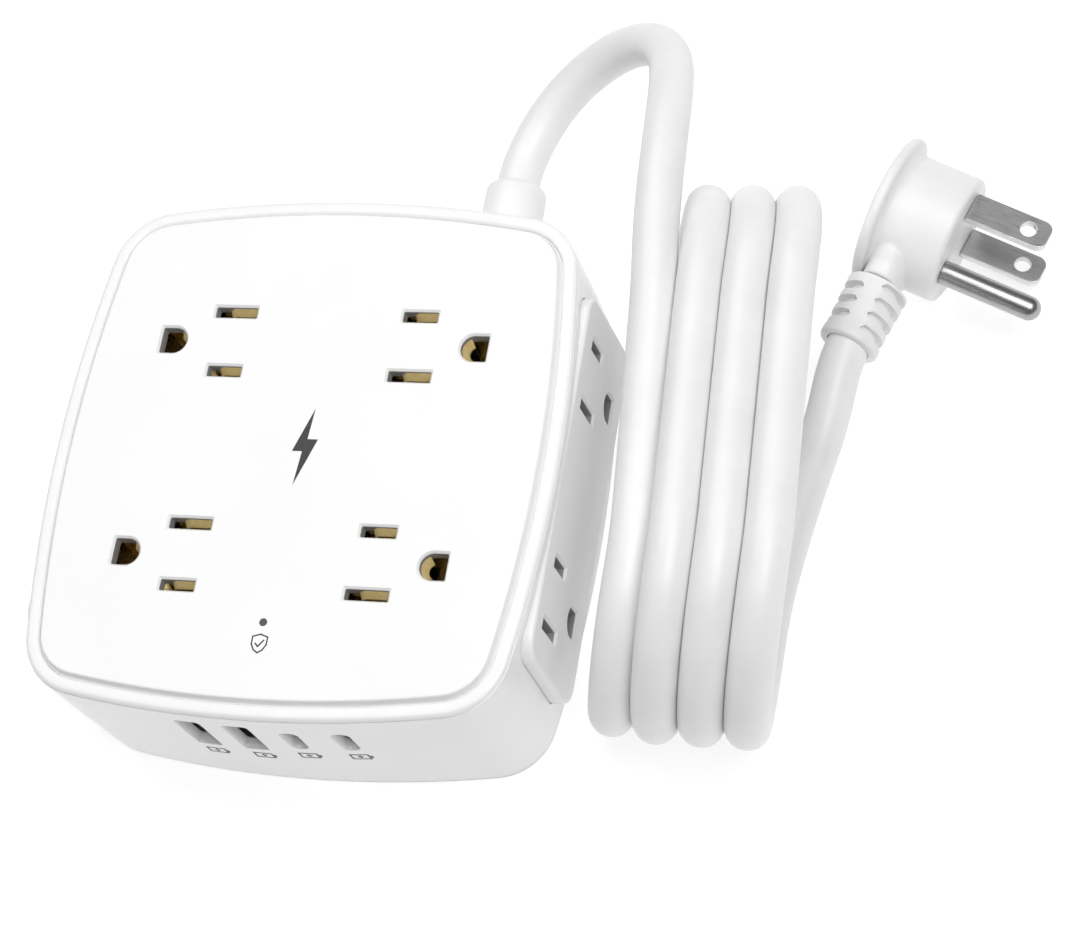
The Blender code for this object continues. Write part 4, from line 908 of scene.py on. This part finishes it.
def ring_cutter(bm, y, start, end, radius, half_width, depth):
    """A groove round part of the relief, with rounded ends."""
    steps = 22
    rings = []
    inner = radius - depth
    outer = radius + 1.0
    lead = half_width / radius
    for i in range(steps + 1):
        share = i / steps
        angle = start + (end - start) * share
        edge = min(share, 1.0 - share) * abs(end - start) / lead
        width = half_width * math.sqrt(max(1.0 - (1.0 - min(edge, 1.0)) ** 2, 0.02))
        ring = []
        for r, flare in ((inner, -1.0), (outer, -1.15), (outer, 1.15), (inner, 1.0)):
            ring.append(RELIEF @ Vector((r * math.sin(angle), r * math.cos(angle), y + flare * width)))
        rings.append(ring)
    skin(bm, rings)


def make_relief():
    """The bend relief, with slots cut from alternate sides."""
    wide = RELIEF_RADIUS
    end = RELIEF_END
    profile = [(RELIEF_ROOT, RELIEF_START), (RELIEF_ROOT, RELIEF_SHOULDER), (wide, RELIEF_SHOULDER + 0.02)]
    profile += [(6.15, RELIEF_SHOULDER + 0.2), (6.05, 23.0), (5.9, 27.0), (5.8, end - 2.3), (5.95, end - 1.9)]
    profile += [(wide, end - 0.8)]
    profile += fillet((wide, end - 0.7), (5.4, end), (wide, end), 4)
    profile += [(4.45, end), (4.36, end - 0.2), (4.34, end - 1.4)]
    bm = bmesh.new()
    turned(bm, profile, RELIEF, 72)
    relief = piece("plug_bend_relief", bm, MOULD, ("plug_strain_relief",))
    cuts = bmesh.new()
    for k in range(4):
        y = RELIEF_SHOULDER + 1.5 + RELIEF_SLOT_PITCH * k
        ring_cutter(cuts, y, math.radians(-75.0), math.radians(75.0), wide, 0.8, 1.4)
        if k < 3:
            ring_cutter(cuts, y + 1.5, math.radians(105.0), math.radians(255.0), wide, 0.8, 1.4)
    combine(relief, cuts)
    bevel(relief, 0.14, 35.0)
    return relief


def make_blades():
    """The two blades, each with its hole, and the ground pin. Their metal is brushed lengthwise."""
    for metal in (NICKEL, PIN_METAL):
        brushing = metal.node_tree.nodes["Mapping"]
        brushing.vector_type = "TEXTURE"
        brushing.inputs["Rotation"].default_value = CONTACTS.to_euler()
        brushing.inputs["Scale"].default_value = (14.0, 1.0, 1.0)
    made = []
    half, length = BLADE[1] / 2.0, BLADE[0]
    blades = (("blade_upper", "plug_blade_hot", -1.0), ("blade_lower", "plug_blade_neutral", 1.0))
    for name, node, side in blades:
        z = side * (BLADE_SPACING / 2.0)
        points = [(0.1, -half), (length - 1.9, -half)]
        points += fillet((length - 1.9, -half), (length, -half + 1.7), (length - 0.1, -half + 0.1), 5)[1:]
        points += fillet((length, half - 1.7), (length - 1.9, half), (length - 0.1, half - 0.1), 5)
        points += [(0.1, half)]
        bm = bmesh.new()
        faces = [z - BLADE[2] / 2.0, z + BLADE[2] / 2.0]
        skin(bm, [[CONTACTS @ Vector((x, y, face)) for x, y in points] for face in faces])
        blade = piece(name, bm, NICKEL, (node,))
        hole = bmesh.new()
        turned(hole, [(1.6, -2.0), (1.6, 2.0)], CONTACTS @ Matrix.Translation((BLADE_HOLE, 0.0, z)), 40)
        combine(blade, hole)
        bevel(blade, 0.16, 50.0)
        made.append(blade)
    place = CONTACTS @ axes((0.0, PIN_OFFSET, 0.0), *FORWARD)
    profile = [(PIN_RADIUS, 0.1), (PIN_RADIUS, 6.0), (PIN_RADIUS, PIN_LENGTH - PIN_RADIUS)]
    for i in range(1, 11):
        angle = math.radians(8.5 * i)
        profile.append((PIN_RADIUS * math.cos(angle), PIN_LENGTH - PIN_RADIUS + PIN_RADIUS * math.sin(angle)))
    bm = bmesh.new()
    turned(bm, profile, place, 48)
    made.append(piece("ground_pin", bm, PIN_METAL, ("plug_ground_pin",)))
    return made


# ---------------------------------------------------------------- CAD nodes that keep their own shape

KEPT = {
    "light_pipe": SMOKE, "status_led": GREEN, "breaker_body": BLACK, "thermal_fuse": YELLOW,
    "surge_board": BOARD, "usb_board": BOARD, "usb_transformer": YELLOW,
    "usb_capacitor_1": BLACK, "usb_capacitor_2": BLACK,
    "varistor_1": CERAMIC, "varistor_2": CERAMIC, "varistor_3": CERAMIC,
    "hot_wire": BLACK, "neutral_wire": SATIN, "ground_wire": GREEN,
    **{f"{role}_bus_{where}": BRASS
       for role in ("hot", "neutral", "ground") for where in ("top", "right", "left")},
}


def dress_nodes():
    for name, material in KEPT.items():
        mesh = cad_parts[name].data
        for i in range(len(mesh.materials)):
            mesh.materials[i] = material


# ---------------------------------------------------------------- floor, light, camera

# The floor glows like a light table, so that it stays white.
FLOOR_GLOW = 0.66
FLOOR_HALF = 3000.0
FLOOR_DROP = 0.0001
WORLD_STRENGTH = 0.19
CAMERA_LENS = 108.96
CAMERA_PLACE = Vector((0.23763, -0.23201, 0.56966))
CAMERA_RIGHT = Vector((0.94933, 0.16091, -0.26996))
CAMERA_UP = Vector((-0.03817, 0.91166, 0.40916))


def add_area(name, place, target, size, energy):
    light = bpy.data.lights.new(name, "AREA")
    light.shape = "SQUARE"
    light.size = size
    light.energy = energy
    obj = bpy.data.objects.new(name, light)
    scene.collection.objects.link(obj)
    obj.location = place
    obj.rotation_euler = (Vector(target) - Vector(place)).to_track_quat("-Z", "Y").to_euler()


def make_floor():
    paint = finish("floor_white", ((0.46, 0.46, 0.46), (0.50, 0.50, 0.50)), (0.75, 0.85), 60.0)
    shader = paint.node_tree.nodes["Principled BSDF"]
    shader.inputs["Emission Color"].default_value = (1.0, 1.0, 1.0, 1.0)
    shader.inputs["Emission Strength"].default_value = FLOOR_GLOW
    bm = bmesh.new()
    corners = ((-1.0, -1.0), (1.0, -1.0), (1.0, 1.0), (-1.0, 1.0))
    bm.faces.new([bm.verts.new((x * FLOOR_HALF, y * FLOOR_HALF, 0.0)) for x, y in corners])
    floor = bpy.data.objects.new("floor", to_mesh("floor", bm))
    scene.collection.objects.link(floor)
    floor.data.materials.append(paint)
    floor.location.z = -FLOOR_DROP


def make_light():
    world = bpy.data.worlds.new("studio")
    scene.world = world
    world.use_nodes = True
    sky = world.node_tree.nodes["Background"]
    sky.inputs["Color"].default_value = (1.0, 1.0, 1.0, 1.0)
    sky.inputs["Strength"].default_value = WORLD_STRENGTH
    add_area("overhead_softbox", (-0.35, 0.5, 1.25), (0.03, 0.02, 0.0), 1.1, 8.4)
    add_area("fill_softbox", (0.55, -0.08, 1.25), (0.1, 0.0, 0.0), 0.9, 11.0)


def make_camera():
    camera = bpy.data.objects.new("camera", bpy.data.cameras.new("camera"))
    scene.collection.objects.link(camera)
    camera.data.sensor_width = 36.0
    camera.data.lens = CAMERA_LENS
    camera.data.clip_start = 0.05
    camera.data.clip_end = 20.0
    right = CAMERA_RIGHT.normalized()
    back = right.cross(CAMERA_UP).normalized()
    camera.matrix_world = axes(CAMERA_PLACE, right, back.cross(right), back)
    scene.camera = camera


make_floor()
make_light()
make_camera()
gland = make_gland()
relief = make_relief()
plug = [make_plug_body(), make_plug_cap(), *make_blades()]
make_cord()
make_shell()
make_top_panel()
make_contact_leaves()
make_side_panel(1.0, "socket_panel_right", "right_socket_panel")
make_side_panel(-1.0, "socket_panel_left", "left_socket_panel")
make_base()
make_feet()
make_screws()
make_usb()
make_breaker()
make_marks()
dress_nodes()
